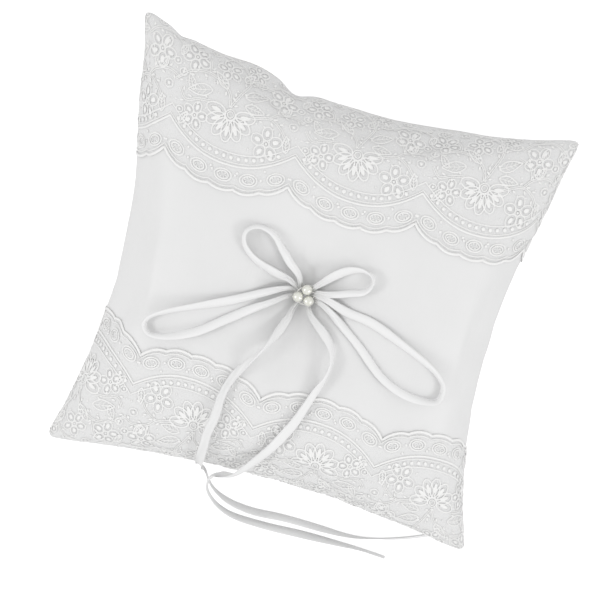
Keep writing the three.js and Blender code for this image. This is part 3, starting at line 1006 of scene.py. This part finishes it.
def net_piece(name, band):
    """The tulle of one band."""
    bm = bmesh.new()
    layer = cloth_layer(bm)
    spots = strip(bm, 319, 57)
    rows = np.array([row for _, row, _ in spots])
    columns = np.array([column for _, _, column in spots])
    x = (rows / 318 * 2 - 1) * (CLOTH_HALF + OVERHANG)
    edge = lace_edge(band, x)
    y = band["toward"] * (edge + (CLOTH_HALF - edge) * columns / 56)
    laid = on_cloth(FRONT, x, y, lace_lift(band, x, y))
    beyond = np.clip(abs(x) - CLOTH_HALF, 0, 1) * (0.75 + 0.25 * np.sin(y / 0.0017))
    laid[:, 0] += np.sign(x) * beyond * smooth_step(CLOTH_HALF - abs(y), 0.004, 0.012)
    laid[:, 2] -= beyond * 0.3
    for (vertex, _, _), place, flat_x, flat_y in zip(spots, laid, x, y):
        vertex.co = place
        vertex[layer] = (flat_x, flat_y, 0)
    area = float(np.mean(CLOTH_HALF - edge)) * 2 * (CLOTH_HALF + OVERHANG)
    return finished(bm, name, LACE_TULLE, [f"lace_band_{name.split('_')[-1]}"]), area


net_upper, area_upper = net_piece("lace_net_upper", BANDS["upper"])
net_lower, area_lower = net_piece("lace_net_lower", BANDS["lower"])
print(f"net areas {area_upper:.5f} and {area_lower:.5f} square metres")

# %% [markdown]
# ## Lace bands: the embroidery
#
# On the net, thick cord draws the edge, a double arc and a third line follow each scallop with a
# row of dots between, every small scallop holds a ringed eyelet, and above them stand a fan, five
# petalled flowers, buds and veined leaves on double stems, with small spots in the ground. Each is
# a stroke or a low dome made flat on the cloth, in millimetres from the middle of a scallop and
# from the line of its cusps, and then laid over the filled front. The pattern is short lists, so
# that it can be changed without touching the laying.

# %% List the pattern's parts
# The pattern is drawn 64 mm wide, and then drawn in to the width of a repeat.
DRAWN_HALF = 32
ARC_RISE = 12.5
ARC_BEND = 2.2
DOT_SPACING = 3.7
SPOT_SPACING = 4.1
RAISED = 0.36
STEMS = [
    [(-33, 30), (-26, 36), (-17, 38), (-9, 35), (-5, 31), (-4, 26)],
    [(-4, 26), (0, 34), (3, 41), (2, 47)],
    [(2, 22), (9, 25), (16, 27), (22, 24), (27, 18)],
    [(-14, 26), (-20, 25), (-26, 23), (-30, 27)],
    [(16, 27), (20, 31), (27, 33), (33, 31)],
    [(-17, 38), (-19, 45), (-25, 49)],
    [(12, 44), (18, 49), (27, 50), (33, 46)],
    [(2, 47), (-4, 52), (-12, 54)],
    [(20, 31), (17, 37), (11, 40)],
]
# The fan: aside, deep, petal length and width. Flowers and buds: aside, deep, size.
FAN = (-3, 23, 9.6, 5.4)
FLOWERS = [
    (17, 15.5, 7.6),
    (-20, 17.5, 6.2),
    (21, 40, 7.4),
    (-25, 43, 7.0),
    (-8, 44, 6.2),
    (6, 51, 5.4),
]
BUDS = [(28, 27, 2.2), (-30, 34, 1.9), (-28, 18, 1.7), (30, 38, 1.9), (-16, 52, 2.0), (19, 53, 1.9)]
# Leaves: aside and deep of the base, the way it points in degrees, length, width.
LEAVES = [
    (-14, 31, 195, 12.5, 5.2),
    (2, 33, 25, 12.0, 5.0),
    (-7, 34, 140, 9.5, 4.0),
    (3, 29, 355, 10.0, 4.2),
    (0, 41, 60, 8.5, 3.8),
    (-23, 28, 120, 7.5, 3.4),
    (22, 32, 60, 7.0, 3.2),
    (12, 46, 190, 8.0, 3.4),
    (25, 47, 245, 7.5, 3.2),
    (-30, 50, 20, 8.0, 3.4),
    (27, 14, 100, 8.0, 3.4),
    (-27, 12, 60, 7.0, 3.0),
    (-33, 41, 70, 7.0, 3.0),
]


# %% Draw one repeat of the pattern
def turned(place, a, b, angle):
    """Where a along and b across lie from a place, in axes turned by an angle."""
    cos, sin = math.cos(angle), math.sin(angle)
    return place[0] + a * cos - b * sin, place[1] + a * sin + b * cos


def stroke(bm, line, width, height, closed=False):
    """A raised cord along a flat line."""
    layer = cloth_layer(bm)
    line = np.asarray(line, float)
    run = np.gradient(line, axis=0)
    if closed:
        run[0] = run[-1] = line[1] - line[-2]
    run = unit(run)
    along = np.concatenate([[0], np.cumsum(np.linalg.norm(np.diff(line, axis=0), axis=1))])
    for vertex, row, column in strip(bm, len(line), 5):
        aside = (-1, -0.72, 0, 0.72, 1)[column]
        rise = (0, 0.72, 1, 0.72, 0)[column]
        x, y = line[row] + np.array([-run[row][1], run[row][0]]) * aside * width / 2
        vertex.co = (x, y, rise * height)
        vertex[layer] = (along[row], aside * width / 2, 0)


def dome(bm, place, long, wide, height, angle=0.0, segments=8):
    """A low padded dot or petal."""
    layer = cloth_layer(bm)
    made = bmesh.ops.create_uvsphere(bm, u_segments=segments, v_segments=4, radius=1)
    for vertex in made["verts"]:
        a, b = vertex.co.x * long / 2, vertex.co.y * wide / 2
        vertex[layer] = (a, b, 0)
        vertex.co = (*turned(place, a, b, angle), vertex.co.z * height)


def ring_line(centre, long, wide, angle=0.0, count=20):
    """A closed oval line."""
    turn = np.linspace(0, 2 * np.pi, count + 1)
    return np.stack(turned(centre, np.cos(turn) * long / 2, np.sin(turn) * wide / 2, angle), 1)


def edge_cords(bm, band):
    """The thick cord on the cut edge, and the finer one inside it."""
    x = np.arange(-CLOTH_HALF, CLOTH_HALF, 0.7 * MM)
    for inward, width, height in ((0.0, 1.2, 0.32), (1.9 * MM, 0.5, 0.18)):
        line = np.stack([x, band["toward"] * (lace_edge(band, x) + inward)], 1)
        stroke(bm, line, width * MM, height * MM)


def scallop_arcs(bm):
    """The three lines and the row of dots that follow a scallop."""
    aside = np.linspace(-DRAWN_HALF, DRAWN_HALF, 60)
    sag = ARC_RISE * (abs(aside) / DRAWN_HALF) ** ARC_BEND
    for up, width in ((1.4, 0.9), (2.8, 0.5), (6.8, 0.6)):
        stroke(bm, np.stack([aside, sag + up], 1) * MM, width * MM, 0.45 * MM)
    row = np.arange(-27.5, 28, DOT_SPACING)
    sag = ARC_RISE * (abs(row) / DRAWN_HALF) ** ARC_BEND
    for x, y in np.stack([row, 4.9 + sag], 1) * MM:
        dome(bm, (x, y), 2.3 * MM, 2.2 * MM, 0.6 * MM)


def eyelets(bm):
    """A ringed eyelet with a dotted fill in each small scallop, between edge and arc."""
    for index in range(LITTLE_COUNT):
        aside = -DRAWN_HALF + 2 * DRAWN_HALF / LITTLE_COUNT * (index + 0.5)
        deep = -DEEP / MM * (1 - (abs(aside) / DRAWN_HALF) ** SCALLOP_BEND) + 5.2
        lean = math.radians(aside * 0.8)
        middle = np.array([aside, deep])
        for size in (8.6, 5.6):
            ring = ring_line(middle * MM, size * MM, size * 0.62 * MM, lean, 20)
            stroke(bm, ring, 0.7 * MM, 0.4 * MM, True)
        for turn in range(6):
            angle = 1.05 * turn + index
            spot = middle + np.array([math.cos(angle) * 1.7, math.sin(angle) * 1.0])
            dome(bm, spot * MM, 0.9 * MM, 0.8 * MM, 0.35 * MM, segments=6)
        for way in (-1, 1):
            spot = middle + np.array([way * 6.0, abs(aside) * 0.03 + 1.2])
            dome(bm, spot * MM, 1.5 * MM, 1.5 * MM, 0.4 * MM, segments=6)


def flower(bm, centre, size, turn):
    """Five petals, each outlined and padded, round a ring."""
    for index in range(5):
        angle = turn + index * 2 * math.pi / 5
        petal = centre + np.array([math.cos(angle), math.sin(angle)]) * size * 0.62
        dome(bm, petal, size * 0.5, size * 0.34, 0.25 * MM, angle, 8)
        outline = ring_line(petal, size * 0.84, size * 0.68, angle, 14)
        stroke(bm, outline, 0.6 * MM, 0.42 * MM, True)
    stroke(bm, ring_line(centre, size * 0.36, size * 0.36, 0, 12), 0.6 * MM, 0.5 * MM, True)
    dome(bm, centre, size * 0.2, size * 0.2, 0.5 * MM, segments=6)


def fan(bm, centre, long, wide):
    """Seven long petals spread downward from a ringed heart, each outlined and ribbed."""
    for angle in np.radians(np.linspace(175, 365, 7)):
        ray = np.array([math.cos(angle), math.sin(angle)])
        middle = centre + ray * long * 0.78
        stroke(bm, ring_line(middle, long, wide, angle, 18), 0.75 * MM, 0.45 * MM, True)
        dome(bm, middle, long * 0.62, wide * 0.4, 0.28 * MM, angle, 8)
    for size in (0.5, 0.3):
        stroke(bm, ring_line(centre, long * size, long * size, 0, 14), 0.6 * MM, 0.5 * MM, True)


def leaf(bm, base, angle, long, wide):
    """A leaf's outline with its veins."""
    share = np.linspace(0, 1, 12)
    half = wide / 2 * np.sin(np.pi * share**0.8)
    for way in (1, -1):
        line = np.stack(turned(base, long * share, way * half, angle), 1)
        stroke(bm, line, 0.65 * MM, 0.45 * MM)
    vein = np.stack(turned(base, long * share[:10], 0, angle), 1)
    stroke(bm, vein, 0.45 * MM, 0.3 * MM)
    for index in (3, 5, 7):
        for way in (1, -1):
            a = long * share[index] + np.array([0, 0.4, 0.8]) * half[index]
            b = way * np.array([0, 0.4, 0.8]) * half[index]
            stroke(bm, np.stack(turned(base, a, b, angle), 1), 0.4 * MM, 0.22 * MM)


def stem(bm, marks):
    """A double stem with small padded leaves set by turns along it."""
    line = through(marks, 1.2) * MM
    run = unit(np.gradient(line, axis=0))
    beside = np.stack([-run[:, 1], run[:, 0]], 1)
    for aside in (-0.4, 0.4):
        stroke(bm, line + beside * aside * MM, 0.5 * MM, 0.4 * MM)
    for number, index in enumerate(range(2, len(line) - 1, 3)):
        way = 1 if number % 2 else -1
        place = line[index] + beside[index] * way * 1.7 * MM
        angle = math.atan2(run[index][1], run[index][0]) + way * 0.7
        dome(bm, place, 2.6 * MM, 1.2 * MM, 0.4 * MM, angle, 6)


def spots_between():
    """Small spots that fill the ground of the pattern where no other shape stands."""
    shapes = [(*mark, 1.8) for marks in STEMS for mark in through(marks, 2.0)]
    shapes += [(FAN[0], FAN[1] - 5, 13)]
    shapes += [(aside, deep, size * 0.95) for aside, deep, size in FLOWERS]
    shapes += [(aside, deep, size * 1.3) for aside, deep, size in BUDS]
    for aside, deep, angle, long, _ in LEAVES:
        way = np.array([math.cos(math.radians(angle)), math.sin(math.radians(angle))])
        shapes += [(aside + way[0] * run, deep + way[1] * run, 2.4) for run in (0, long / 2, long)]
    spread = np.random.default_rng(3)
    spots = []
    for deep in np.arange(10, 58, SPOT_SPACING):
        for aside in np.arange(-31, 31, SPOT_SPACING):
            place = np.array([aside, deep]) + spread.uniform(-0.9, 0.9, 2)
            clear = all(math.hypot(place[0] - x, place[1] - y) > size for x, y, size in shapes)
            above = place[1] > 9 + ARC_RISE * (abs(place[0]) / DRAWN_HALF) ** ARC_BEND
            if clear and above:
                spots.append(place * MM)
    return spots


def motif():
    """One repeat of the pattern, flat: x aside from its middle, y in from the cusps' line."""
    bm = bmesh.new()
    scallop_arcs(bm)
    eyelets(bm)
    for marks in STEMS:
        stem(bm, marks)
    fan(bm, np.array(FAN[:2]) * MM, FAN[2] * MM, FAN[3] * MM)
    for place in spots_between():
        dome(bm, place, 1.1 * MM, 1.0 * MM, 0.3 * MM, segments=6)
    for index, (aside, deep, size) in enumerate(FLOWERS):
        flower(bm, np.array([aside, deep]) * MM, size * MM, 0.4 + index)
    for aside, deep, size in BUDS:
        centre = np.array([aside, deep]) * MM
        ring = ring_line(centre, 2 * size * MM, 1.7 * size * MM, 0, 12)
        stroke(bm, ring, 0.6 * MM, 0.45 * MM, True)
        dome(bm, centre, size * 0.9 * MM, size * 0.9 * MM, 0.45 * MM, segments=6)
    for aside, deep, angle, long, wide in LEAVES:
        leaf(bm, np.array([aside, deep]) * MM, math.radians(angle), long * MM, wide * MM)
    for vertex in bm.verts:
        vertex.co.x *= REPEAT / (2 * DRAWN_HALF * MM)
        vertex.co.z *= RAISED
    mesh = bpy.data.meshes.new("lace motif")
    bm.to_mesh(mesh)
    bm.free()
    return mesh


def embroidery_piece(name, band, pattern):
    """All raised work of one band, cut off at the seam and laid on the front."""
    bm = bmesh.new()
    cloth_layer(bm)
    edge_cords(bm, band)
    for number in range(-3, 3):
        already = len(bm.verts)
        bm.from_mesh(pattern)
        bm.verts.ensure_lookup_table()
        middle = band["first"] + REPEAT * (number + 0.5)
        for vertex in bm.verts[already:]:
            x = middle + band["toward"] * vertex.co.x
            vertex.co = (x, band["toward"] * (cusp_line(band, x) + vertex.co.y), vertex.co.z)
    limit = CLOTH_HALF - 0.9 * MM
    for normal in ((1, 0, 0), (-1, 0, 0), (0, band["toward"], 0)):
        bmesh.ops.bisect_plane(
            bm,
            geom=bm.verts[:] + bm.edges[:] + bm.faces[:],
            plane_co=[limit * part for part in normal],
            plane_no=normal,
            clear_outer=True,
        )
    flat = np.array([vertex.co for vertex in bm.verts])
    flat[flat[:, 2] < 0, 2] = -0.1 * MM
    lift = lace_lift(band, flat[:, 0], flat[:, 1]) + flat[:, 2]
    for vertex, place in zip(bm.verts, on_cloth(FRONT, flat[:, 0], flat[:, 1], lift)):
        vertex.co = place
    return finished(bm, name, LACE_CORD)


pattern = motif()
cords_upper = embroidery_piece("lace_cords_upper", BANDS["upper"], pattern)
cords_lower = embroidery_piece("lace_cords_lower", BANDS["lower"], pattern)

# %% [markdown]
# ## Ribbon bow and tails
#
# Six lengths of limp satin ribbon, 6 mm wide: two short loops, two long loops and two tails. A
# loop is one length sewn down by both its ends under the pearls; a tail has one end sewn and one
# cut. Each is a strip swept along its route, turned by its lean, kept off the cloth under it by
# pushing the line clear, cupped across (so that it looks narrower than it is cut), and drawn
# narrow and pleated where it is sewn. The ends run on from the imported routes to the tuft, one
# above the other in thin layers, and the loops are let down onto the cloth away from it.

# %% Lay the ribbons
RIBBON_THICKNESS = 0.28 * MM
# Half the angle a ribbon is cupped through, and how much of the cup's height it keeps.
CUP = 1.45
FLATTENED = 0.7
LOOP_SLACK = 0.55
# Where each ribbon's ends are sewn: angle round the tuft, distance from it, height over the cloth.
ROOTS = {
    "short_loop_left": [(158, 2.3, 2.3), (148, 2.6, 1.8)],
    "short_loop_right": [(62, 2.2, 2.6), (38, 2.4, 2.1)],
    "long_loop_left": [(176, 2.2, 1.4), (196, 2.5, 1.0)],
    "long_loop_right": [(8, 2.2, 1.6), (-14, 2.5, 1.2)],
    "tail_left": [(246, 2.3, 0.8)],
    "tail_right": [(-52, 2.4, 1.1)],
}


def tree_of(piece):
    """A search tree of a piece's own mesh."""
    return BVHTree.FromPolygons(
        [tuple(vertex.co) for vertex in piece.data.vertices],
        [tuple(face.vertices) for face in piece.data.polygons],
    )


cad_panel = tree_of(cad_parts["front_panel"])
NETS = [tree_of(net_upper), tree_of(net_lower)]


def height_over(tree, x, y):
    """The height of a surface under x, y, or None beside it."""
    hit = tree.ray_cast((x, y, 0.2), (0, 0, -1))
    return hit[0].z if hit[0] is not None else None


def root_place(angle, reach, layer):
    """Where a ribbon's end is sewn, at this angle round the tuft, in degrees."""
    turn = math.radians(angle)
    x = TUFT_X + reach * MM * math.cos(turn)
    y = TUFT_Y + reach * MM * math.sin(turn)
    return (x, y, height_over(CASE, x, y) + layer * MM, 0)


def laid_route(name):
    """A ribbon's route with its sewn ends, its heights kept over the filled case."""
    route = []
    for x, y, z, lean in ROUTES[name]:
        under_cad = height_over(cad_panel, x, y)
        under = height_over(CASE, x, y)
        if under_cad is not None and under is not None and z - under_cad < 12 * MM:
            steep = smooth_step(under_cad, SEAM_Z + 4 * MM, SEAM_Z + 16 * MM)
            from_tuft = math.hypot(x - TUFT_X, y - TUFT_Y)
            slack = LOOP_SLACK if "loop" in name else 0.0
            relaxed = slack * smooth_step(from_tuft, 12 * MM, 24 * MM) * (z - under_cad)
            z = z + steep * (under - under_cad - relaxed)
        route.append((x, y, z, lean))
    ends = ROOTS[name]
    first = root_place(*ends[0])
    route.insert(0, (*first[:3], route[0][3]))
    if len(ends) > 1:
        last = root_place(*ends[1])
        route.append((*last[:3], route[-1][3]))
    return through(route, 0.8 * MM)


def frames_along(line):
    """Unit run, side and face directions of a ribbon whose fourth number is its lean."""
    run = unit(np.gradient(line[:, :3], axis=0))
    above = np.tile((0.0, 0.0, 1.0), (len(line), 1))
    for index, place in enumerate(line[:, :3]):
        near, normal, _, gap = CASE.find_nearest(place)
        closeness = float(1 - smooth_step(gap, 3 * MM, 12 * MM))
        above[index] = above[index] * (1 - closeness) + np.array(normal) * closeness
    for _ in range(12):
        above[1:-1] = (above[:-2] + 2 * above[1:-1] + above[2:]) / 4
    side = unit(np.cross(above, run))
    face = np.cross(run, side)
    lean = np.radians(line[:, 3])[:, None]
    turned_face = face * np.cos(lean) + side * np.sin(lean)
    turned_side = side * np.cos(lean) - face * np.sin(lean)
    return run, unit(turned_side), unit(turned_face)


def pushed_clear(line, hold):
    """Moves a ribbon's line so that it lies clear of the case, the net and the floor."""
    line = line.copy()
    for _ in range(14):
        _, side, _ = frames_along(line)
        for index in range(hold, len(line)):
            push = np.zeros(3)
            for aside in (-1, -0.5, 0, 0.5, 1):
                place = line[index, :3] + side[index] * aside * RIBBON_WIDTH / 2
                near, normal, _, _ = CASE.find_nearest(place)
                gap = (Vector(place) - near).dot(normal)
                wanted = 0.4 * MM
                for net in NETS:
                    if net.find_nearest(place, 4 * MM)[0] is not None:
                        wanted = 1.1 * MM
                if gap < wanted:
                    step = np.array(normal) * (wanted - gap)
                    push = step if np.linalg.norm(step) > np.linalg.norm(push) else push
                floor_gap = 0.25 * MM - place[2]
                if floor_gap > 0 and floor_gap > push[2]:
                    push[2] = floor_gap
            line[index, :3] += push * 0.7
        middle = (line[:-2, :3] + 2 * line[1:-1, :3] + line[2:, :3]) / 4
        line[1:-1, :3] = line[1:-1, :3] * 0.6 + middle * 0.4
    return line


def ribbon_piece(name):
    """One ribbon, swept as a cupped strip along its line."""
    line = pushed_clear(laid_route(name), 4)
    run, side, face = frames_along(line)
    steps = np.linalg.norm(np.diff(line[:, :3], axis=0), axis=1)
    along = np.concatenate([[0], np.cumsum(steps)])
    from_root = along if len(ROOTS[name]) == 1 else np.minimum(along, along[-1] - along)
    gathered = 1 - smooth_step(from_root, 2 * MM, 26 * MM)
    on_floor = 1 - smooth_step(line[:, 2], 3 * MM, 9 * MM)
    wave = np.sin(along / 0.0115 + len(name)) + 0.6 * np.sin(along / 0.0047 + 2)
    bm = bmesh.new()
    layer = cloth_layer(bm)
    for vertex, row, column in strip(bm, len(line), 11):
        share = column / 5 - 1
        bend = CUP * (1 - 0.45 * on_floor[row]) * (1 + 0.12 * wave[row])
        radius = RIBBON_WIDTH / 2 / bend
        wide = radius * math.sin(bend * share) * (1 - 0.46 * gathered[row])
        rise = radius * (math.cos(bend * share) - math.cos(bend)) * (1 - 0.6 * gathered[row])
        pleat = 0.4 * MM * gathered[row] * math.cos(2.5 * math.pi * share)
        place = line[row, :3] + side[row] * wide + face[row] * (FLATTENED * rise + pleat)
        vertex.co = place
        vertex[layer] = (share * RIBBON_WIDTH / 2, along[row], 0)
    bmesh.ops.solidify(bm, geom=bm.faces[:], thickness=RIBBON_THICKNESS)
    piece = finished(bm, f"{name}_ribbon", RIBBON_SATIN, [name])


for name in ROUTES:
    ribbon_piece(name)

# %% [markdown]
# ## Pearls, tufting thread and knots
#
# Three drilled pearl beads sit on the bow, strung in a ring by one thread that goes up from the
# tuft, through each bead and down again. A pearl could be a plain ball, but its drilled ends show
# where the thread enters, so each is a ball with its poles opened and a sleeve turned inward. The
# tufting thread is two strands twisted together, from the front dip to the knot in the back dip.


# %% Make the pearls
def pearl_piece(name):
    """Makes a drilled bead in place; gives its centre and its angle round the tuft."""
    low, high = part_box(name)
    centre = (low + high) / 2
    radius = (high.z - low.z) / 2
    hole = 0.65 * MM
    bm = bmesh.new()
    made = bmesh.ops.create_uvsphere(bm, u_segments=36, v_segments=26, radius=radius)
    poles = [vertex for vertex in made["verts"] if math.hypot(vertex.co.x, vertex.co.y) < hole * 0.9]
    bmesh.ops.delete(bm, geom=poles, context="VERTS")
    rims = [edge for edge in bm.edges if edge.is_boundary]
    sleeve = bmesh.ops.extrude_edge_only(bm, edges=rims)
    inner = [part for part in sleeve["geom"] if isinstance(part, bmesh.types.BMVert)]
    for vertex in inner:
        vertex.co.z *= 0.2
    bearing = math.atan2(centre.y - TUFT_Y, centre.x - TUFT_X)
    turn = Matrix.Rotation(bearing, 4, "Z") @ Matrix.Rotation(math.pi / 2, 4, "X")
    bmesh.ops.transform(bm, matrix=Matrix.Translation(centre) @ turn, verts=bm.verts)
    cloth_layer(bm)
    finished(bm, f"{name}_bead", PEARL_COAT, [name])
    return centre, bearing


pearls = [pearl_piece(name) for name in ("pearl_top", "pearl_left", "pearl_right")]

# %% String them
stringing = []
for index, (centre, bearing) in enumerate(pearls):
    way = Vector((-math.sin(bearing), math.cos(bearing), 0))
    if index == 0:
        stringing.append(centre - way * 3.9 * MM - Vector((0, 0, 4.6 * MM)))
        stringing.append(centre - way * 3.5 * MM - Vector((0, 0, 1.2 * MM)))
    for along in (-2.4, 0, 2.4):
        stringing.append(centre + way * along * MM)
    if index == 2:
        stringing.append(centre + way * 3.5 * MM - Vector((0, 0, 1.2 * MM)))
        stringing.append(centre + way * 3.9 * MM - Vector((0, 0, 4.6 * MM)))
bm = bmesh.new()
tube(bm, through(stringing, 0.4 * MM), 0.24 * MM, 8)
finished(bm, "pearl_string", SEWING_THREAD, ["pearl_thread"])

# %% Twist the tufting thread and tie its knot
bm = bmesh.new()
rise = np.linspace(TUFT_BACK_Z - 0.6 * MM, TUFT_FRONT_Z + 1.2 * MM, 130)
for phase in (0, math.pi):
    angle = rise / (3.2 * MM) * 2 * math.pi + phase
    strand = np.stack(
        [TUFT_X + 0.27 * MM * np.cos(angle), TUFT_Y + 0.27 * MM * np.sin(angle), rise], 1
    )
    tube(bm, strand, 0.26 * MM, 7)
finished(bm, "tufting_strands", SEWING_THREAD, ["tufting_thread"])

knot_low, knot_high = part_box("anchor_knot")
knot_middle = (knot_low + knot_high) / 2
knot_half = (knot_high - knot_low) / 2
turns = np.linspace(0, 2 * math.pi, 110)
knot_line = np.stack(
    [
        knot_middle.x + (np.sin(turns) + 2 * np.sin(2 * turns)) / 3 * (knot_half.x - 0.55 * MM),
        knot_middle.y + (np.cos(turns) - 2 * np.cos(2 * turns)) / 3 * (knot_half.y - 0.5 * MM),
        knot_middle.z - np.sin(3 * turns) * (knot_half.z - 0.55 * MM),
    ],
    1,
)
bm = bmesh.new()
tube(bm, knot_line, 0.5 * MM, 8)
for way in (-1, 1):
    end = [
        (knot_middle.x, knot_middle.y + way * 0.4 * MM, knot_middle.z),
        (knot_middle.x + way * 2.4 * MM, knot_middle.y + way * 1.6 * MM, knot_middle.z - 0.4 * MM),
        (knot_middle.x + way * 4.6 * MM, knot_middle.y + way * 2.1 * MM, knot_middle.z + 0.2 * MM),
    ]
    tube(bm, through(end, 0.4 * MM), 0.3 * MM, 7)
finished(bm, "anchor_knot_tied", SEWING_THREAD, ["anchor_knot"])

# %% [markdown]
# ## Floor, light and view
#
# The pillow lies on a plain white floor that is lit past white, which its material does with a
# glow that only the view sees. Soft light comes from all round, so that satin, lace and ribbon
# part by small shadows only. Two soft lamps stand to the left and the right, a little to the lower
# side: they give each pearl its pair of highlights and leave the slope by the upper seam darker.

# %% Set the stage
FLOOR_GLOW = 0.6
LAMP_POWER = 3.6
LAMP_SIZE = 0.4
LAMP_ASIDE = 1.2
SKY_STRENGTH = 0.86
bm = bmesh.new()
bmesh.ops.create_grid(bm, x_segments=1, y_segments=1, size=3)
floor = placed(bm, "floor")
floor.location.z = -0.05 * MM
paper = bpy.data.materials.new("floor")
paper.use_nodes = True
paper_shader = paper.node_tree.nodes["Principled BSDF"]
paper_shader.inputs["Base Color"].default_value = (0.8, 0.8, 0.8, 1)
paper_shader.inputs["Roughness"].default_value = 0.9
paper_shader.inputs["Specular IOR Level"].default_value = 0.1
paper_shader.inputs["Emission Color"].default_value = (1, 1, 1, 1)
seen = node(paper.node_tree, "ShaderNodeLightPath").outputs["Is Camera Ray"]
glow = maths(paper.node_tree, "MULTIPLY", seen, FLOOR_GLOW)
paper.node_tree.links.new(glow, paper_shader.inputs["Emission Strength"])
floor.data.materials.append(paper)

for aside in (-LAMP_ASIDE, LAMP_ASIDE):
    lamp_data = bpy.data.lights.new("lamp", "AREA")
    lamp_data.energy = LAMP_POWER
    lamp_data.size = LAMP_SIZE
    lamp = bpy.data.objects.new("lamp", lamp_data)
    lamp.location = (aside, -0.3, 1.0)
    lamp.rotation_euler = (lamp.location - aim).to_track_quat("Z", "Y").to_euler()
    bpy.context.scene.collection.objects.link(lamp)

world = bpy.data.worlds.new("studio")
bpy.context.scene.world = world
world.use_nodes = True
sky = world.node_tree.nodes["Background"]
sky.inputs["Color"].default_value = (1, 1, 1, 1)
sky.inputs["Strength"].default_value = SKY_STRENGTH
bpy.context.scene.view_settings.view_transform = "Standard"
